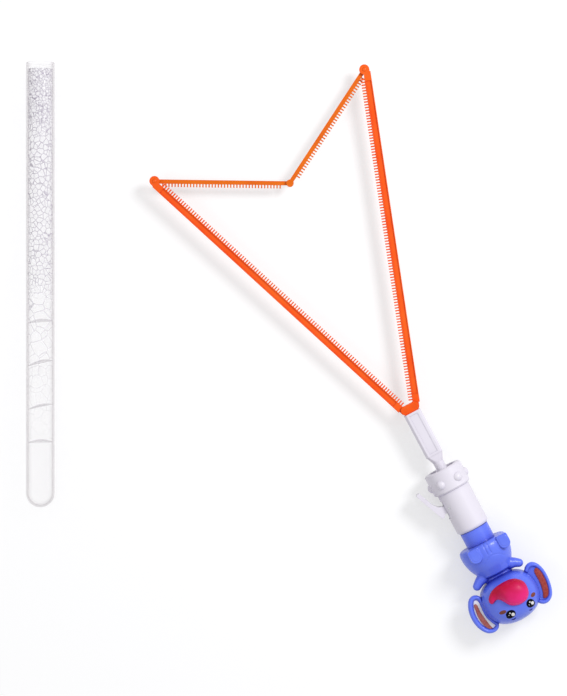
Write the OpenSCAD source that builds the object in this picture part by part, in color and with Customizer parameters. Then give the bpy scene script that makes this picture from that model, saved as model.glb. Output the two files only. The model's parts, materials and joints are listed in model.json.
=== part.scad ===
// Folding bubble wand: a comb-edged frame that opens at the squeeze of a lever,
// on a round handle that ends in a sitting elephant, with its screw-on clear tube
// laid beside it. The wand lies on its back: +Z is up, +Y runs from the elephant
// to the frame's tips, and the origin is on the table under the elephant's back.

/* [Frame] */
// Length of a long arm from its root pivot to its tip pivot
arm_len = 296; // [200:1:340]
// Angle of each long arm to the middle line when the frame is open
arm_open = 19.5; // [16:0.5:21]
// Thickness of the long arms
arm_t = 2.8; // [2.4:0.1:3.2]
// Distance of each root pivot from the middle line
pivot_x = 4.6; // [4.5:0.05:4.9]
// Outer edge of a long arm's rail, from its pivot line
rail_out = 5.1; // [4.2:0.1:5.6]
// Inner edge of a long arm's rail, from its pivot line
rail_in = 1.1; // [0.4:0.1:1.6]
// Width of the thin raised rims along the rails
rim_w = 0.9; // [0.6:0.1:1.3]
// Depth of the channel between the rims
channel_d = 0.7; // [0.3:0.05:0.9]
// Distance from one comb tooth to the next
tooth_pitch = 2.45; // [2:0.05:4]
// Width of a comb tooth
tooth_w = 1.15; // [0.8:0.05:1.5]
// Thickness of the comb teeth
tooth_t = 1.8; // [1:0.1:2.2]
// Distance of the middle joint behind the frame's tips when it is open
mid_back = 56.84; // [50:0.02:90]
// Width of a short arm's rail
link_w = 3.6; // [3:0.1:4.2]
// Length of a short arm's comb teeth
link_tooth = 2.8; // [2:0.1:3.2]
// Thickness of the short arms
link_t = 1.8; // [1.4:0.1:2]
// Gap between the layers of the frame
layer_gap = 0.2; // [0.15:0.05:0.3]
// Radius of the rivets in the frame
rivet_r = 1.5; // [1.2:0.05:1.6]

/* [Stem] */
// Length of the flat part of the stem
stem_len = 41.6; // [38:0.1:60]
// Width of the flat part of the stem
stem_w = 15.6; // [15.2:0.1:17]
// Thickness of the flat part of the stem
stem_t = 10; // [9.6:0.1:12]
// Wall of the stem
stem_wall = 1.2; // [1:0.1:1.4]
// Length of the taper behind the flat part
taper_len = 7; // [4:0.5:12]
// Diameter of the round neck of the stem
neck_d = 9.4; // [8:0.1:10]
// Length of the round neck that stands out of the collar
neck_len = 6.6; // [3:0.1:20]
// Distance of the root pivots ahead of the stem's front edge
pivot_ahead = 4; // [4:0.1:4.6]

/* [Handle] */
// Outer diameter of the collar that takes the tube
collar_d = 34.4; // [33:0.2:40]
// Length of the collar
collar_len = 20; // [18:0.5:30]
// Depth of the tube's socket in the collar
socket_len = 14; // [10:0.5:14]
// Number of round studs on the collar
studs = 6; // [6:2:6]
// Diameter of a stud's foot
stud_d = 8; // [6:0.2:9]
// Height of a stud
stud_h = 2.4; // [1.6:0.1:2.6]
// Outer diameter of the barrel
barrel_d = 29.6; // [29:0.1:32]
// Length of the barrel
barrel_len = 39; // [38:0.5:60]
// Wall of the barrel
barrel_wall = 2; // [1.6:0.1:2.2]
// Step from the barrel in to the neck behind it
throat_step = 1.8; // [1.2:0.1:2.4]
// Visible length of the neck behind the barrel
throat_len = 13.5; // [8:0.5:25]

/* [Lever] */
// Distance of the lever's pivot from the wand's axis
lever_x = 11; // [10.6:0.1:11.2]
// Distance of the lever's pivot behind the collar's front edge
lever_back = 33; // [32.5:0.5:34]
// Length of the lever's paddle
paddle_len = 31; // [26:0.5:36]
// Thickness of the lever's paddle
paddle_t = 3.7; // [3:0.1:4]
// Width of the lever's paddle
paddle_w = 10; // [8:0.2:10]
// Angle of the paddle to the wand's axis when the lever is squeezed
paddle_turn = 21.8; // [20:0.2:24]
// Distance of the paddle's outer face at its rear end from the wand's axis
paddle_x = 20; // [19.5:0.1:22]
// Travel of the lever from open to folded, in degrees
lever_travel = 8; // [7:0.5:9]
// Length of the crank inside the barrel
crank_len = 18; // [17.5:0.1:18.2]
// Distance of the drive pin behind the root pivots when the frame is open
drive_back = 11; // [10.8:0.1:11.4]
// Diameter of the push rod
rod_d = 4; // [3:0.1:4.4]
// Radius of the drive pin
drive_r = 1.2; // [1:0.05:1.3]

/* [Elephant] */
// Half width of the head
head_rx = 26.3; // [23:0.1:30]
// Half height of the head
head_ry = 22.2; // [20:0.1:24]
// Greatest half width of the sitting body
body_rx = 22.4; // [20:0.1:26]
// Height of the whole figure
figure_len = 76; // [74:0.5:90]
// Wall of the figure's shells
shell_wall = 2.2; // [1.6:0.1:3]
// Height of an ear
ear_len = 37.5; // [32:0.5:42]
// Width of an ear
ear_w = 18.6; // [16:0.2:21]
// Thickness of an ear
ear_t = 7; // [5:0.2:9]
// Width of an ear's raised rim
ear_rim = 3.6; // [3:0.1:4.2]
// Length of the trunk from its bulb to its tip
trunk_len = 35.6; // [30:0.2:38]
// Radius of an eye
eye_r = 3.9; // [3:0.1:4.4]
// Height by which the printed eyes, brows and cheeks stand proud
print_h = 0.35; // [0.2:0.05:0.6]

/* [Tube] */
// Outer diameter of the clear tube
tube_d = 24.8; // [24.4:0.1:25]
// Wall of the clear tube
tube_wall = 1.2; // [0.8:0.1:1.3]
// Length of the clear tube
tube_len = 388; // [380:1:460]
// Angle between the tube and the wand as they lie, in degrees
tube_turn = 28; // [20:1:35]
// Sideways place of the tube's mouth from the wand's axis
tube_x = 143; // [135:1:200]
// Place of the tube's mouth along the wand
tube_y = 588; // [560:1:640]

/* [Fits] */
// Radial play of a rivet or pin in the piece that turns on it
play = 0.1; // [0.06:0.01:0.12]
// Gap between pieces that slide or pass closely
slip = 0.3; // [0.2:0.05:0.35]
// Gap between pieces that are seated on each other
seat = 0.05; // [0.03:0.01:0.1]

/* [Hidden] */
$fn = 64;
orange = "#FF6A3C";
amber = "#F58A2A";
white = "#EFECF8";
blue = "#4F69DE";
pink = "#F02A70";
brown = "#A8483A";
ink = "#0A0C1C";
steel = "#A8ACB4";
over = rivet_r;

// The wand's axis lies a little over one collar radius above the table, so its studs clear it
axis_z = collar_d * 0.512;
// The figure's body ends here, measured from its middle
figure_top = figure_len * 0.49;
figure_foot = figure_len - figure_top;
throat_d = barrel_d - 2 * throat_step;
throat_front = figure_foot + throat_len;
barrel_front = throat_front + barrel_len;
collar_front = barrel_front + collar_len;
socket_floor = collar_front - socket_len;
stem_rear = collar_front + neck_len + taper_len;
stem_front = stem_rear + stem_len;
pivot_y = stem_front + pivot_ahead;

// The frame's geometry when it is open and when it is folded
tip_x = pivot_x + arm_len * sin(arm_open);
tip_y = pivot_y + arm_len * cos(arm_open);
mid_y = tip_y - mid_back;
link_len = norm([tip_x, mid_back]);
link_turn = -90 - atan2(mid_back, tip_x);
eye_gap = 2 * slip;
root_r = pivot_x - eye_gap + play;
tip_r = pivot_x - layer_gap;
comb_edge = pivot_x - layer_gap;
link_r = link_w * 0.9;
// Layers, measured from the wand's axis
arm_low = -arm_t / 2;
link_high_z = arm_low - layer_gap - link_t;
link_low_z = link_high_z - layer_gap - play - link_t;

// The lever's crank swings evenly about square to the rod, which sets the stroke
crank_lean = lever_travel / 2;
stroke = 2 * crank_len * sin(crank_lean);
lever_y = collar_front - lever_back;
// Place of the drive pin in the left arm's own frame, at a share of the fold
function drive_at(s) =
    let (a = arm_open * (1 - s), back = drive_back - stroke * s)
    [pivot_x * cos(a) - back * sin(a), -pivot_x * sin(a) - back * cos(a)];
slot_steps = 6;
tail_r = drive_r + play + arm_t * 0.36;
tail_t = arm_t / 2 - play;

// A straight bar with round ends between two points
module bar(a, b, r) {
    span = norm(b - a);
    translate(a) circle(r);
    translate(b) circle(r);
    translate(a) rotate(atan2(b[1] - a[1], b[0] - a[0])) translate([0, -r]) square([span, 2 * r]);
}

// A row of comb teeth along +Y from one height to another
module comb(from_y, to_y, edge_in, edge_out, pitch, w) {
    n = floor((to_y - from_y) / pitch);
    for (i = [0 : n]) {
        translate([edge_in, from_y + i * pitch]) square([edge_out - edge_in, w]);
    }
}

module on_axis() {
    translate([0, 0, axis_z]) children();
}

// The outline of one long arm's rail, without its comb
comb_start = 2 * rail_out;
comb_from = pivot_x + tooth_w / 2;
module arm_rail() {
    shoulder_y = arm_len - tip_r / 2;
    translate([-rail_out, 2 * rivet_r]) square([rail_out + rail_in, shoulder_y - 2 * rivet_r]);
    translate([-root_r, 0]) square([root_r + rail_in, comb_start]);
    translate([-tip_r, shoulder_y - tip_r]) square([tip_r + rail_in, 1.5 * tip_r]);
    circle(root_r);
    translate([0, arm_len]) circle(tip_r);
}

// A band of half width r along the drive pin's path, with round ends
cap_steps = 8;
function drive_way(s) = atan2(drive_at(s + 0.01)[1] - drive_at(s - 0.01)[1],
                              drive_at(s + 0.01)[0] - drive_at(s - 0.01)[0]);
function beside(s, turn, r) = drive_at(s) + r * [cos(drive_way(s) + turn), sin(drive_way(s) + turn)];
function slot_band(r) = concat(
    [for (i = [0 : slot_steps]) beside(i / slot_steps, -90, r)],
    [for (i = [1 : cap_steps - 1]) beside(1, 180 * i / cap_steps - 90, r)],
    [for (i = [slot_steps : -1 : 0]) beside(i / slot_steps, 90, r)],
    [for (i = [1 : cap_steps - 1]) beside(0, 180 * i / cap_steps + 90, r)]
);

// One long arm in its own frame: root pivot at the origin, comb towards +X
module long_arm(tail_low) {
    channel_w = rail_out + rail_in - 2 * rim_w;
    channel_len = arm_len - 2 * comb_start;
    difference() {
        union() {
            translate([0, 0, arm_low]) linear_extrude(arm_t) arm_rail();
            translate([0, 0, -tooth_t / 2]) linear_extrude(tooth_t)
                comb(comb_from, arm_len - 2 * tip_r, rail_in - play, comb_edge, tooth_pitch, tooth_w);
            translate([0, 0, tail_low]) linear_extrude(tail_t) {
                bar([0, 0], drive_at(0), tail_r * 0.88);
                polygon(slot_band(tail_r));
            }
        }
        for (low = [-arm_t / 2 - over, arm_t / 2 - channel_d]) {
            translate([rim_w - rail_out, comb_start, low]) cube([channel_w, channel_len, channel_d + over]);
        }
        translate([0, 0, -arm_t]) cylinder(r = rivet_r + play, h = 2 * arm_t);
        translate([0, arm_len, -arm_t]) cylinder(r = rivet_r, h = 2 * arm_t);
        translate([0, 0, tail_low - over]) linear_extrude(tail_t + 2 * over)
            polygon(slot_band(drive_r + play));
    }
}

module place_arm() {
    translate([-pivot_x, pivot_y, axis_z]) rotate(arm_open) children();
}

module long_arm_left() {
    color(orange) place_arm() long_arm(arm_low);
}

module long_arm_right() {
    color(orange) mirror([1, 0, 0]) place_arm() long_arm(play);
}

// One short arm in its own frame: tip pivot at the origin, running to +Y, comb to +X
module short_arm(low) {
    difference() {
        union() {
            translate([0, 0, low]) linear_extrude(link_t) {
                translate([-link_w / 2, 0]) square([link_w, link_len]);
                circle(link_r);
                translate([0, link_len]) circle(link_r);
            }
            translate([0, 0, low]) linear_extrude(link_t - play)
                comb(2 * link_r, link_len - 2 * link_r - tooth_w, link_w / 2 - play,
                     link_w / 2 + link_tooth, tooth_pitch * 1.1, tooth_w);
        }
        translate([0, 0, low - over]) cylinder(r = rivet_r + play, h = link_t + 2 * over);
        translate([0, link_len, low - over]) cylinder(r = rivet_r, h = link_t + 2 * over);
    }
}

module place_link() {
    translate([-tip_x, tip_y, axis_z]) rotate(link_turn) children();
}

module short_arm_left() {
    color(amber) place_link() short_arm(link_low_z);
}

module short_arm_right() {
    color(amber) mirror([1, 0, 0]) place_link() short_arm(link_high_z);
}

// A tip rivet: low domed head on the long arm, shank through it and the short arm, small foot
module tip_pin(low, spacer) {
    head_r = rivet_r * 1.4;
    head_h = rivet_r * 0.3;
    translate([0, 0, arm_t / 2]) intersection() {
        translate([0, 0, head_h - 2 * head_r]) sphere(2 * head_r);
        cylinder(r = head_r, h = head_h);
    }
    translate([0, 0, low - layer_gap]) cylinder(r = rivet_r, h = arm_t / 2 - low + layer_gap);
    translate([0, 0, low - layer_gap - head_h]) cylinder(r = head_r * 0.9, h = head_h);
    if (spacer > 0) {
        translate([0, 0, arm_low - spacer]) cylinder(r = head_r, h = spacer);
    }
}

module tip_pin_left() {
    color(orange) place_arm() translate([0, arm_len, 0])
        tip_pin(link_low_z, arm_low - link_low_z - link_t - layer_gap);
}

module tip_pin_right() {
    color(orange) mirror([1, 0, 0]) place_arm() translate([0, arm_len, 0]) tip_pin(link_high_z, 0);
}

module mid_pin(low) {
    translate([0, mid_y, axis_z + low]) cylinder(r = rivet_r, h = link_t);
}

module mid_pin_lower() {
    color(amber) mid_pin(link_low_z);
}

module mid_pin_upper() {
    color(amber) mid_pin(link_high_z);
}

// The hub's plate: a round-cornered tongue with two legs that run back into the stem
hub_h = stem_t / 2 - stem_wall - seat - arm_t / 2 - layer_gap;
hub_r = pivot_x - rivet_r / 2;
leg_in = rod_d * 0.85;
leg_out = stem_w / 2 - stem_wall - seat;
leg_len = 3 * pivot_ahead;
web_back = pivot_ahead * 1.4;
module hub_outline() {
    bar([-pivot_x, 0], [pivot_x, 0], hub_r);
    polygon([
        [-leg_out, 0], [-leg_out, -leg_len], [-leg_in, -leg_len], [-leg_in, -web_back],
        [leg_in, -web_back], [leg_in, -leg_len], [leg_out, -leg_len], [leg_out, 0]
    ]);
}

module frame_hub() {
    color(orange) translate([0, pivot_y, axis_z]) {
        translate([0, 0, arm_low - layer_gap - hub_h]) linear_extrude(hub_h) hub_outline();
        for (side = [-1, 1]) {
            translate([side * pivot_x, 0, arm_low - layer_gap])
                cylinder(r = rivet_r, h = arm_t + 2 * layer_gap + hub_h);
        }
    }
}

module hub_cap() {
    color(orange) translate([0, pivot_y, axis_z + arm_t / 2 + layer_gap]) difference() {
        linear_extrude(hub_h) hub_outline();
        for (side = [-1, 1]) {
            translate([side * pivot_x, 0, -over]) cylinder(r = rivet_r + seat, h = hub_h + 2 * over);
        }
    }
}

// The stem's outside: a bevelled flat box, a taper and a round neck down to its flange
bevel = stem_wall * 1.5;
flange_r = neck_d * 0.9;
flange_t = stem_wall * 1.6;
module stem_section(w, t, c) {
    polygon([
        [-w / 2 + c, -t / 2], [w / 2 - c, -t / 2], [w / 2, -t / 2 + c], [w / 2, t / 2 - c],
        [w / 2 - c, t / 2], [-w / 2 + c, t / 2], [-w / 2, t / 2 - c], [-w / 2, -t / 2 + c]
    ]);
}

module stem_body() {
    thin = stem_wall / 10;
    translate([0, stem_front, 0]) rotate([90, 0, 0]) linear_extrude(stem_len)
        stem_section(stem_w, stem_t, bevel);
    hull() {
        translate([0, stem_rear + thin, 0]) rotate([90, 0, 0]) linear_extrude(thin)
            stem_section(stem_w * 0.96, stem_t * 0.96, bevel);
        translate([0, stem_rear - taper_len, 0]) rotate([-90, 0, 0])
            cylinder(d = neck_d * 0.98, h = thin, $fn = 32);
    }
    translate([0, socket_floor, 0]) rotate([-90, 0, 0])
        cylinder(d = neck_d, h = stem_rear - taper_len - socket_floor + thin);
    translate([0, socket_floor + seat, 0]) rotate([-90, 0, 0]) cylinder(r = flange_r, h = flange_t);
    translate([0, socket_floor - flange_t, 0]) rotate([-90, 0, 0])
        cylinder(d = neck_d, h = flange_t + flange_t);
}

// Room inside the stem for the arms' tails, the fork and the rod
fork_half = leg_in - slip * 2;
fork_back = drive_back + tail_r + stroke + 2 * slip;
room_len = fork_back + rod_d * 2.4 - pivot_ahead;
rib_t = 2 * stem_wall;
screw_x = (neck_d / 2 + flange_r) / 2;
screw_r = stem_wall * 0.6;
module stem_room() {
    w = stem_w - 2 * stem_wall;
    t = stem_t - 2 * stem_wall;
    translate([-w / 2, stem_front - room_len, -t / 2]) cube([w, room_len + over, t]);
    translate([-w / 2, stem_rear + stem_wall, -t / 2])
        cube([w, stem_len - room_len - rib_t - stem_wall, t]);
    translate([0, socket_floor - flange_t - over, 0]) rotate([-90, 0, 0])
        cylinder(d = rod_d + 2 * play, h = stem_front - socket_floor);
    for (side = [-1, 1]) {
        translate([side * screw_x, socket_floor - over, 0]) rotate([-90, 0, 0])
            cylinder(r = screw_r + seat, h = 2 * flange_t + over);
    }
}

panel_in = 1.2 * bevel;
panel_d = stem_wall / 4;
// Shallow panel in each broad face of the stem
module stem_panel() {
    half = stem_w / 2 - bevel - panel_in;
    for (low = [-stem_t / 2 - over, stem_t / 2 - panel_d]) {
        translate([-half, stem_rear + panel_in, low])
            cube([2 * half, stem_len - 2 * panel_in, panel_d + over]);
    }
}

module stem_half(up) {
    color(white) on_axis() intersection() {
        difference() {
            stem_body();
            stem_room();
            stem_panel();
        }
        translate([-stem_w, 0, up ? seat / 2 : -stem_t - seat / 2])
            cube([2 * stem_w, stem_front + over, stem_t]);
    }
}

module stem_upper() {
    stem_half(true);
}

module stem_lower() {
    stem_half(false);
}

module flange_screws() {
    head_r = screw_r * 1.7;
    color(steel) on_axis() for (side = [-1, 1]) {
        translate([side * screw_x, socket_floor + flange_t + seat, 0]) rotate([-90, 0, 0])
            cylinder(r = head_r, h = screw_r * 1.4);
        translate([side * screw_x, socket_floor - flange_t, 0]) rotate([-90, 0, 0])
            cylinder(r = screw_r, h = 2 * flange_t + seat);
    }
}

// The push rod: a fork round the arms' tails in front, a shoe for the crank behind
crank_r = rivet_r;
shoe_y = lever_y - crank_len * sin(crank_lean);
shoe_x = crank_len * cos(crank_lean) - lever_x;
shoe_in = crank_r + seat;
shoe_w = crank_r * 1.25;
shoe_z = rod_d * 0.75;
prong_t = arm_t / 2;
fork_z = arm_t / 2 + layer_gap;
module pushrod() {
    front = pivot_y - fork_back;
    shoe_end = shoe_x + shoe_in + shoe_w;
    bridge_in = crank_r * 1.6;
    color(white) on_axis() {
        translate([0, shoe_y + bridge_in, 0]) rotate([-90, 0, 0])
            cylinder(d = rod_d, h = front - shoe_y - bridge_in);
        translate([-fork_half, front - rod_d, -fork_z - prong_t])
            cube([2 * fork_half, rod_d, 2 * (fork_z + prong_t)]);
        for (low = [fork_z, -fork_z - prong_t]) {
            difference() {
                translate([-fork_half, front - over / 2, low])
                    cube([2 * fork_half, fork_back - drive_back + drive_r + prong_t + over / 2, prong_t]);
                translate([0, pivot_y - drive_back, low - over])
                    cylinder(r = drive_r, h = prong_t + 2 * over);
            }
        }
        translate([-rod_d / 2, shoe_y + bridge_in, -shoe_z]) cube([rod_d / 2 + shoe_end, shoe_w, 2 * shoe_z]);
        translate([shoe_x - shoe_w, shoe_y + shoe_in, -shoe_z])
            cube([shoe_w + shoe_end - shoe_x, bridge_in + shoe_w - shoe_in, 2 * shoe_z]);
        translate([shoe_x - shoe_w, shoe_y - shoe_in - shoe_w, -shoe_z])
            cube([shoe_w + shoe_end - shoe_x, shoe_w, 2 * shoe_z]);
        translate([shoe_x + shoe_in, shoe_y - shoe_in - shoe_w, -shoe_z])
            cube([shoe_w, 2 * shoe_in + 2 * shoe_w, 2 * shoe_z]);
    }
}

module drive_pin() {
    color(steel) translate([0, pivot_y - drive_back, axis_z - fork_z - prong_t])
        cylinder(r = drive_r, h = 2 * (fork_z + prong_t));
}

// The collar: a studded cup whose socket takes the tube's mouth
seal_r = rod_d * 0.85;
seal_t = rod_d * 0.55;
join_r = barrel_d / 2 - barrel_wall - seat;
join_len = 2.5 * barrel_wall;
collar_edge = barrel_wall * 0.6;
tube_r = tube_d / 2;
module collar_turned() {
    r = collar_d / 2;
    rotate([-90, 0, 0]) rotate_extrude($fn = 96) polygon([
        [0, barrel_front - join_len], [join_r, barrel_front - join_len], [join_r, barrel_front],
        [r - collar_edge, barrel_front], [r, barrel_front + collar_edge],
        [r, collar_front - collar_edge], [r - collar_edge, collar_front], [0, collar_front]
    ]);
}

module screw_collar() {
    ball = (stud_d * stud_d / 4 + stud_h * stud_h) / (2 * stud_h);
    r = collar_d / 2;
    color(white) on_axis() difference() {
        union() {
            collar_turned();
            for (i = [0 : studs - 1]) {
                rotate([0, (i + 0.5) * 360 / studs, 0])
                    translate([0, barrel_front + collar_len * 0.42, r + stud_h - ball]) sphere(ball);
            }
        }
        translate([0, socket_floor, 0]) rotate([-90, 0, 0])
            cylinder(r = tube_r + slip, h = socket_len + over);
        translate([0, socket_floor - flange_t - seat, 0]) rotate([-90, 0, 0])
            cylinder(d = neck_d + 2 * seat, h = flange_t + over);
        translate([0, socket_floor - flange_t - seal_t - 2 * seat, 0]) rotate([-90, 0, 0])
            cylinder(r = seal_r + seat, h = seal_t + over);
        translate([0, barrel_front - join_len - over, 0]) rotate([-90, 0, 0])
            cylinder(d = rod_d + 4 * play, h = collar_len);
        translate([0, barrel_front - join_len - over, 0]) rotate([-90, 0, 0])
            cylinder(r = join_r - barrel_wall, h = join_len + over);
        for (side = [-1, 1]) {
            translate([side * screw_x, socket_floor - 2 * flange_t, 0]) rotate([-90, 0, 0])
                cylinder(r = screw_r, h = 3 * flange_t);
        }
    }
}

module rod_seal() {
    color(ink) on_axis() translate([0, socket_floor - flange_t - seal_t - seat, 0]) rotate([-90, 0, 0])
        difference() {
            cylinder(r = seal_r, h = seal_t - seat);
            translate([0, 0, -over]) cylinder(r = rod_d / 2 + play, h = seal_t + 2 * over);
        }
}

module tube_gasket() {
    color(ink) on_axis() translate([0, socket_floor + seat, 0]) rotate([-90, 0, 0]) difference() {
        cylinder(r = tube_r + slip - seat, h = stem_wall);
        translate([0, 0, -over]) cylinder(r = flange_r + slip, h = stem_wall + 2 * over);
    }
}

// The barrel: a turned sleeve with a round shoulder behind and the lever's window in its side
window_z = paddle_w / 2 + slip;
window_front = lever_y + lever_back * 0.24;
window_back = lever_y - lever_back * 0.26;
shoulder = 1.6 * barrel_wall;
module barrel_turned() {
    r = barrel_d / 2;
    bore = r - barrel_wall;
    rear_bore = bore - barrel_wall;
    steps = 6;
    outer = [for (i = [0 : steps])
        [r - shoulder * (1 - sin(90 * i / steps)),
         throat_front + seat + shoulder * (1 - cos(90 * i / steps))]];
    rotate([-90, 0, 0]) rotate_extrude($fn = 96) polygon(concat(
        [[rear_bore, throat_front + seat]], outer,
        [[r, barrel_front - seat], [bore, barrel_front - seat],
         [bore, throat_front + shoulder], [rear_bore, throat_front + shoulder]]
    ));
}

module handle_barrel() {
    color(white) on_axis() difference() {
        barrel_turned();
        translate([-barrel_d, window_back, -window_z])
            cube([barrel_d - lever_x / 2, window_front - window_back, 2 * window_z]);
        translate([-lever_x, lever_y, -barrel_d / 2]) cylinder(r = rivet_r * 0.7, h = barrel_d);
    }
}

module trigger_pin() {
    half = sqrt(pow(barrel_d / 2, 2) - lever_x * lever_x) - barrel_wall / 4;
    color(steel) on_axis() translate([-lever_x, lever_y, -half]) cylinder(r = rivet_r * 0.7, h = 2 * half);
}

// The lever's side outline: paddle, root and hub, with the crank turned back a little
module trigger() {
    half = paddle_t / 2;
    dir = [-sin(paddle_turn), cos(paddle_turn)];
    inward = [cos(paddle_turn), sin(paddle_turn)];
    rear = [-paddle_x, lever_y - paddle_len * 0.21] + half * inward + half * dir;
    tip = rear + (paddle_len - paddle_t) * dir;
    hub_x = -lever_x;
    hub_round = rivet_r * 1.7;
    color(white) on_axis() difference() {
        union() {
            translate([0, 0, -paddle_w / 2]) linear_extrude(paddle_w) {
                bar(rear, tip, half);
                translate([hub_x, lever_y]) circle(hub_round);
                polygon([
                    [hub_x, lever_y - hub_round], rear + half * inward * 0.2,
                    rear + dir * paddle_len * 0.06, rear + dir * paddle_len * 0.44 + half * inward,
                    rear + dir * paddle_len * 0.3 + half * inward * 1.7,
                    rear + dir * paddle_len * 0.24 + half * inward * 2.3, [hub_x, lever_y + hub_round]
                ]);
            }
            translate([0, 0, -shoe_z * 0.8]) linear_extrude(shoe_z * 1.6) {
                end = [hub_x + crank_len * cos(crank_lean), lever_y - crank_len * sin(crank_lean)];
                bar([hub_x, lever_y], end, crank_r * 0.73);
                translate(end) circle(crank_r);
            }
        }
        translate([hub_x, lever_y, -paddle_w]) cylinder(r = rivet_r * 0.7 + play, h = 2 * paddle_w);
    }
}

// The neck between barrel and figure, with a spigot into each
module throat() {
    r = throat_d / 2;
    bore = barrel_d / 2 - 2 * barrel_wall - seat;
    inner = bore - barrel_wall;
    spigot = join_len + shoulder;
    plug = shell_wall + barrel_wall;
    plug_r = r - barrel_wall;
    color(blue) on_axis() rotate([-90, 0, 0]) rotate_extrude($fn = 96) polygon([
        [inner, figure_foot - plug], [plug_r, figure_foot - plug], [plug_r, figure_foot + seat],
        [r, figure_foot + seat], [r, throat_front - seat], [bore, throat_front - seat],
        [bore, throat_front + spigot], [inner, throat_front + spigot]
    ]);
}

// The figure is turned about the wand's axis: radius shares against height shares
head_y = head_ry - figure_top;
chin_share = 0.62;
body_shares = [
    [0.147, 0.63], [0.233, 0.67], [0.309, 0.75], [0.406, 0.84], [0.547, 0.92], [0.675, 0.97],
    [0.806, 1], [0.903, 0.99], [0.967, 0.95], [1, 0.88]
];
head_power = 2.25;
head_steps = 22;
function head_at(a) = [
    head_rx * pow(max(0, sin(a)), 2 / head_power),
    -head_ry * (cos(a) < 0 ? -1 : 1) * pow(abs(cos(a)), 2 / head_power)
];
head_end = 180 - asin(chin_share);
chin_y = head_y + head_at(head_end)[1];
function body_y(share) = chin_y + share * (figure_foot - chin_y);
function figure_points(inset) = concat(
    [for (i = [0 : head_steps])
        let (p = head_at(head_end * i / head_steps))
        [max(0, p[0] * (1 - inset / head_rx)), head_y + p[1] * (1 - inset / head_ry)]],
    [for (s = body_shares) [s[1] * body_rx - inset, min(body_y(s[0]), figure_foot - max(inset, 0))]],
    [[0, figure_foot - max(inset, 0)]]
);

module figure_solid(inset) {
    rotate([-90, 0, 0]) rotate_extrude($fn = 96) polygon(figure_points(inset));
}

foot_x_share = 0.6;
foot_y_share = 0.77;
foot_r = body_rx * 0.36;
foot_z_share = 0.97;
// Pads of the two feet, turned to the front
module feet() {
    for (side = [-1, 1]) {
        translate([side * body_rx * foot_x_share, figure_foot * foot_y_share, 0]) rotate_extrude() polygon([
            [0, 0], [foot_r, 0], [foot_r, body_rx * foot_z_share - shell_wall],
            [foot_r * 0.93, body_rx * foot_z_share - shell_wall / 3],
            [foot_r * 0.8, body_rx * foot_z_share], [0, body_rx * foot_z_share]
        ]);
    }
}

boss_r = shell_wall * 1.3;
boss_at_shares = [[0.42, -0.62], [-0.42, -0.62], [0.4, 0.5], [-0.4, 0.5]];
shell_screw_r = boss_r * 0.4;
module bosses(r) {
    for (s = boss_at_shares) {
        translate([s[0] * head_rx, s[1] * figure_foot, -axis_z + shell_wall / 2])
            cylinder(r = r, h = 2 * head_rx);
    }
}

// Inside of the two shells, flat over the back they lie on
module figure_room() {
    intersection() {
        figure_solid(shell_wall);
        translate([-head_rx, -figure_top, -axis_z + shell_wall])
            cube([2 * head_rx, 2 * figure_top, 4 * axis_z]);
    }
}

module figure_shell() {
    plug_r = throat_d / 2 - barrel_wall + seat;
    difference() {
        union() {
            difference() {
                union() {
                    figure_solid(0);
                    feet();
                }
                figure_room();
            }
            intersection() {
                bosses(boss_r);
                figure_solid(shell_wall / 2);
            }
        }
        translate([0, figure_foot - shell_wall * 3, 0]) rotate([-90, 0, 0])
            cylinder(r = plug_r, h = shell_wall * 3 + over);
        translate([0, 0, -axis_z - over]) for (s = boss_at_shares) {
            translate([s[0] * head_rx, s[1] * figure_foot, 0])
                cylinder(r = shell_screw_r, h = axis_z * 1.35 + over);
        }
        translate([0, 0, -axis_z - over]) for (s = boss_at_shares) {
            translate([s[0] * head_rx, s[1] * figure_foot, 0])
                cylinder(r = 2 * shell_screw_r + seat, h = 2 * shell_screw_r + over);
        }
    }
}

module figure_half(up) {
    color(blue) on_axis() intersection() {
        figure_shell();
        translate([-2 * head_rx, -figure_len, up ? seat / 2 : -axis_z])
            cube([4 * head_rx, 2 * figure_len, up ? 2 * head_rx : axis_z - seat / 2]);
    }
}

module elephant_front() {
    figure_half(true);
}

module elephant_back() {
    figure_half(false);
}

module shell_screws() {
    color(steel) on_axis() for (s = boss_at_shares) {
        translate([s[0] * head_rx, s[1] * figure_foot, -axis_z]) {
            translate([0, 0, 2 * shell_screw_r]) cylinder(r = shell_screw_r, h = axis_z * 1.2);
            translate([0, 0, shell_screw_r * 0.6]) cylinder(r = 2 * shell_screw_r, h = shell_screw_r * 1.4);
        }
    }
}

// An ear in plan: an upright oval that leans a little, joined to the head's side
ear_lean = 6;
ear_x = head_rx + ear_w * 0.16;
ear_z = axis_z * 0.1;
function oval(rx, ry, power, n) = [for (i = [0 : n - 1])
    let (a = 360 * i / n, c = cos(a), s = sin(a))
    [rx * sign(c) * pow(abs(c), 2 / power), ry * sign(s) * pow(abs(s), 2 / power)]];

module ear_solid(side) {
    edge = ear_t * 0.22;
    difference() {
        translate([side * ear_x, head_y - ear_len * 0.02, ear_z]) rotate(-side * ear_lean) {
            translate([0, 0, edge]) linear_extrude(ear_t - 2 * edge)
                polygon(oval(ear_w / 2, ear_len / 2, 2.3, 48));
            for (low = [0, ear_t - edge]) {
                translate([0, 0, low]) linear_extrude(edge)
                    polygon(oval(ear_w / 2 - edge / 2, ear_len / 2 - edge / 2, 2.3, 48));
            }
        }
        figure_solid(-seat);
        translate([side * ear_x, head_y - ear_len * 0.02, ear_z]) rotate(-side * ear_lean)
            translate([side * ear_w * 0.06, 0, ear_t * 0.45]) linear_extrude(ear_t)
                polygon(oval(ear_w / 2 - ear_rim, ear_len / 2 - ear_rim, 2.2, 40));
    }
}

module ear_left() {
    color(blue) on_axis() ear_solid(-1);
}

module ear_right() {
    color(blue) on_axis() ear_solid(1);
}

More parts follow.
